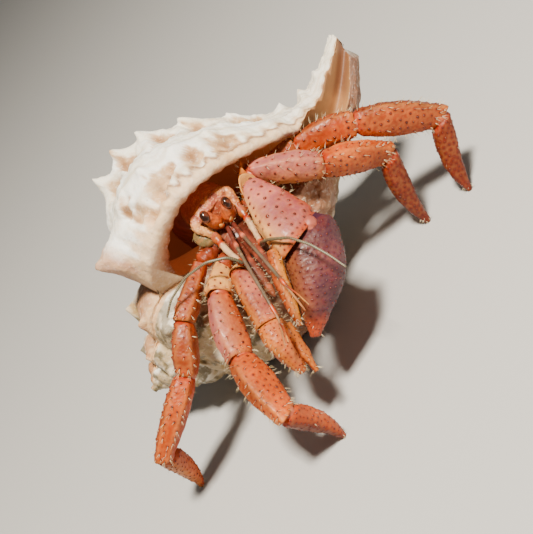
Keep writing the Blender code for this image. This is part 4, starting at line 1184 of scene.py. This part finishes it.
for name, root, tip, size in (("right_rear", (-2.0, 8.5, 41.5), (-10.8, 7.0, 42.0), 2.3),
                              ("right_front", (-1.5, 6.0, 38.6), (-7.8, 4.8, 38.0), 2.2),
                              ("right_claw", (-0.5, 5.6, 36.6), (-4.2, 4.1, 35.1), 1.9),
                              ("left_claw", (1.5, 6.0, 37.5), (7.8, 6.0, 37.4), 2.2),
                              ("left_front", (2.0, 9.5, 40.5), (10.0, 14.3, 40.2), 2.2),
                              ("left_rear", (2.0, 13.0, 42.0), (11.3, 20.3, 41.5), 2.2)):
    sweep("hip_" + name, None, (root, tip),
          ((0.0, 0.8 * size, 0.8 * size), (0.3, size, size), (0.42, 0.8 * size, 0.8 * size), (0.5, size, size),
           (0.85, size, size), (1.0, 0.5 * size, 0.5 * size)),
          hip_shade, waxy_finish, rows=50, count=28, grain=0.22, hair=20, hair_length=1.2)

sweep("breast", None, ((0.8, 9.0, 42.5), (0.6, 6.4, 39.5), (0.8, 4.4, 36.0), (1.2, 5.0, 32.5)),
      ((0.0, 3.6, 2.4), (0.2, 4.4, 3.0), (0.6, 4.2, 2.8), (0.9, 3.0, 2.0), (1.0, 1.6, 1.0)),
      underside_shade, supple_finish, rows=60, count=40, grain=0.4, hair=40, hair_length=1.2)

# ---- DOTS AND BRISTLES -------------------------------------------------------------------------
# The dots are low domes sunk in the plates.  The bristles stand beside them, more of them along the ridges
# and rims, and lean towards the tip of the limb.
def small_parts(name, kind, items, finish_):
    """One piece of many domes or strands, each with its own spot on the map."""
    points, faces, marks = [], [], []
    for item in items:
        place_, normal, axis_, size = item[:4]
        spot = item[-1]
        lean = axis_ - normal * axis_.dot(normal)
        lean /= np.linalg.norm(lean) + 1e-9
        cross = np.cross(normal, lean)
        base = len(points)
        if kind == "dome":
            count, levels = 8, ((1.0, -0.30), (0.92, 0.16), (0.55, 0.42))
            for reach, height in levels:
                for k in range(count):
                    a = 2.0 * math.pi * k / count
                    points.append(place_ + (math.cos(a) * lean + math.sin(a) * cross) * size * reach
                                  + normal * size * height)
            points.append(place_ + normal * size * 0.52)
        else:
            count, levels = 3, ((0.042, 0.0), (0.036, 0.4), (0.026, 0.75))
            towards = normal * 1.0 + lean * (0.40 + 0.5 * item[4]) + cross * 0.9 * item[5]
            towards /= np.linalg.norm(towards)
            for reach, along in levels:
                middle = place_ - normal * 0.1 + towards * size * along + lean * size * 0.12 * along ** 2
                for k in range(count):
                    a = 2.0 * math.pi * k / count
                    points.append(middle + (math.cos(a) * cross + math.sin(a) * lean) * reach)
            points.append(place_ - normal * 0.1 + towards * size + lean * size * 0.12)
        for level in range(len(levels) - 1):
            for k in range(count):
                low = base + level * count
                faces.append((low + k, low + (k + 1) % count, low + count + (k + 1) % count, low + count + k))
        tip = base + len(levels) * count
        faces += [(tip - count + k, tip - count + (k + 1) % count, tip) for k in range(count)]
        faces.append(tuple(base + k for k in reversed(range(count))))
        for n in range(len(points) - base):
            marks.append((spot[0] + 0.003 * (n % count) / count, spot[1] + 0.003 * (n // count) / 4))
    piece = made_of(name, (np.array(points) - MIDDLE) * MM, faces)
    mesh = piece.data
    unwrap = mesh.uv_layers.new(name="OFBake")
    corner_points = np.empty(len(mesh.loops), int)
    mesh.loops.foreach_get("vertex_index", corner_points)
    unwrap.data.foreach_set("uv", np.array(marks)[corner_points].ravel())
    mesh.materials.append(finish_)
    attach(piece, "root")


small_parts("dark_dots", "dome", dots, dot_finish)
small_parts("bristles", "strand", bristles, bristle_finish)

# ---- FLOOR, LIGHT AND CAMERA -------------------------------------------------------------------
# A pale floor, one broad lamp high above and a little behind the camera, and a weak fill.  The
# camera looks down at 27 degrees and is rolled, because the crab was first seen on a steep trunk.
bpy.ops.object.select_all(action="DESELECT")
bpy.ops.mesh.primitive_plane_add(size=6.0, location=(0.0, 0.0, -0.0001))
floor = bpy.context.active_object
floor.name = "studio_floor"
floor_finish, surface, start = new_finish("pale_floor")
surface.inputs["Base Color"].default_value = (0.50, 0.50, 0.50, 1.0)
surface.inputs["Roughness"].default_value = 0.9
floor.data.materials.append(floor_finish)


def lamp(name, place, aim, size, power, colour):
    light = bpy.data.lights.new(name, "AREA")
    light.size = size
    light.energy = power
    light.color = colour
    holder = bpy.data.objects.new(name, light)
    holder.location = place
    holder.rotation_euler = (Vector(aim) - Vector(place)).to_track_quat("-Z", "Y").to_euler()
    bpy.context.scene.collection.objects.link(holder)


lamp("key_lamp", (0.06, -0.32, 0.64), (0.0, 0.0, 0.03), 0.10, 15.0, (1.0, 0.91, 0.76))
lamp("fill_lamp", (0.5, -0.6, 0.25), (0.0, 0.0, 0.03), 0.7, 0.7, (1.0, 0.93, 0.84))
world = bpy.data.worlds.new("studio")
world.use_nodes = True
world.node_tree.nodes["Background"].inputs["Color"].default_value = (0.90, 0.87, 0.82, 1.0)
world.node_tree.nodes["Background"].inputs["Strength"].default_value = 0.12
bpy.context.scene.world = world

fall, roll = math.radians(27.0), math.radians(48.0)
level = Vector((1.0, 0.0, 0.0))
upright = Vector((0.0, math.sin(fall), math.cos(fall)))
toward = Vector((0.0, -math.cos(fall), math.sin(fall)))
right = level * math.cos(roll) - upright * math.sin(roll)
up = level * math.sin(roll) + upright * math.cos(roll)
camera = bpy.data.objects.new("camera", bpy.data.cameras.new("camera"))
camera.data.lens = 70.24
camera.data.sensor_width = 36.0
camera.data.clip_start = 0.01
turned = camera.matrix_world.to_3x3()
turned.col[0], turned.col[1], turned.col[2] = right, up, toward
camera.matrix_world = turned.to_4x4()
camera.location = Vector((-0.0037, -0.0144, 0.03125)) + toward * 0.260
bpy.context.scene.collection.objects.link(camera)
bpy.context.scene.camera = camera
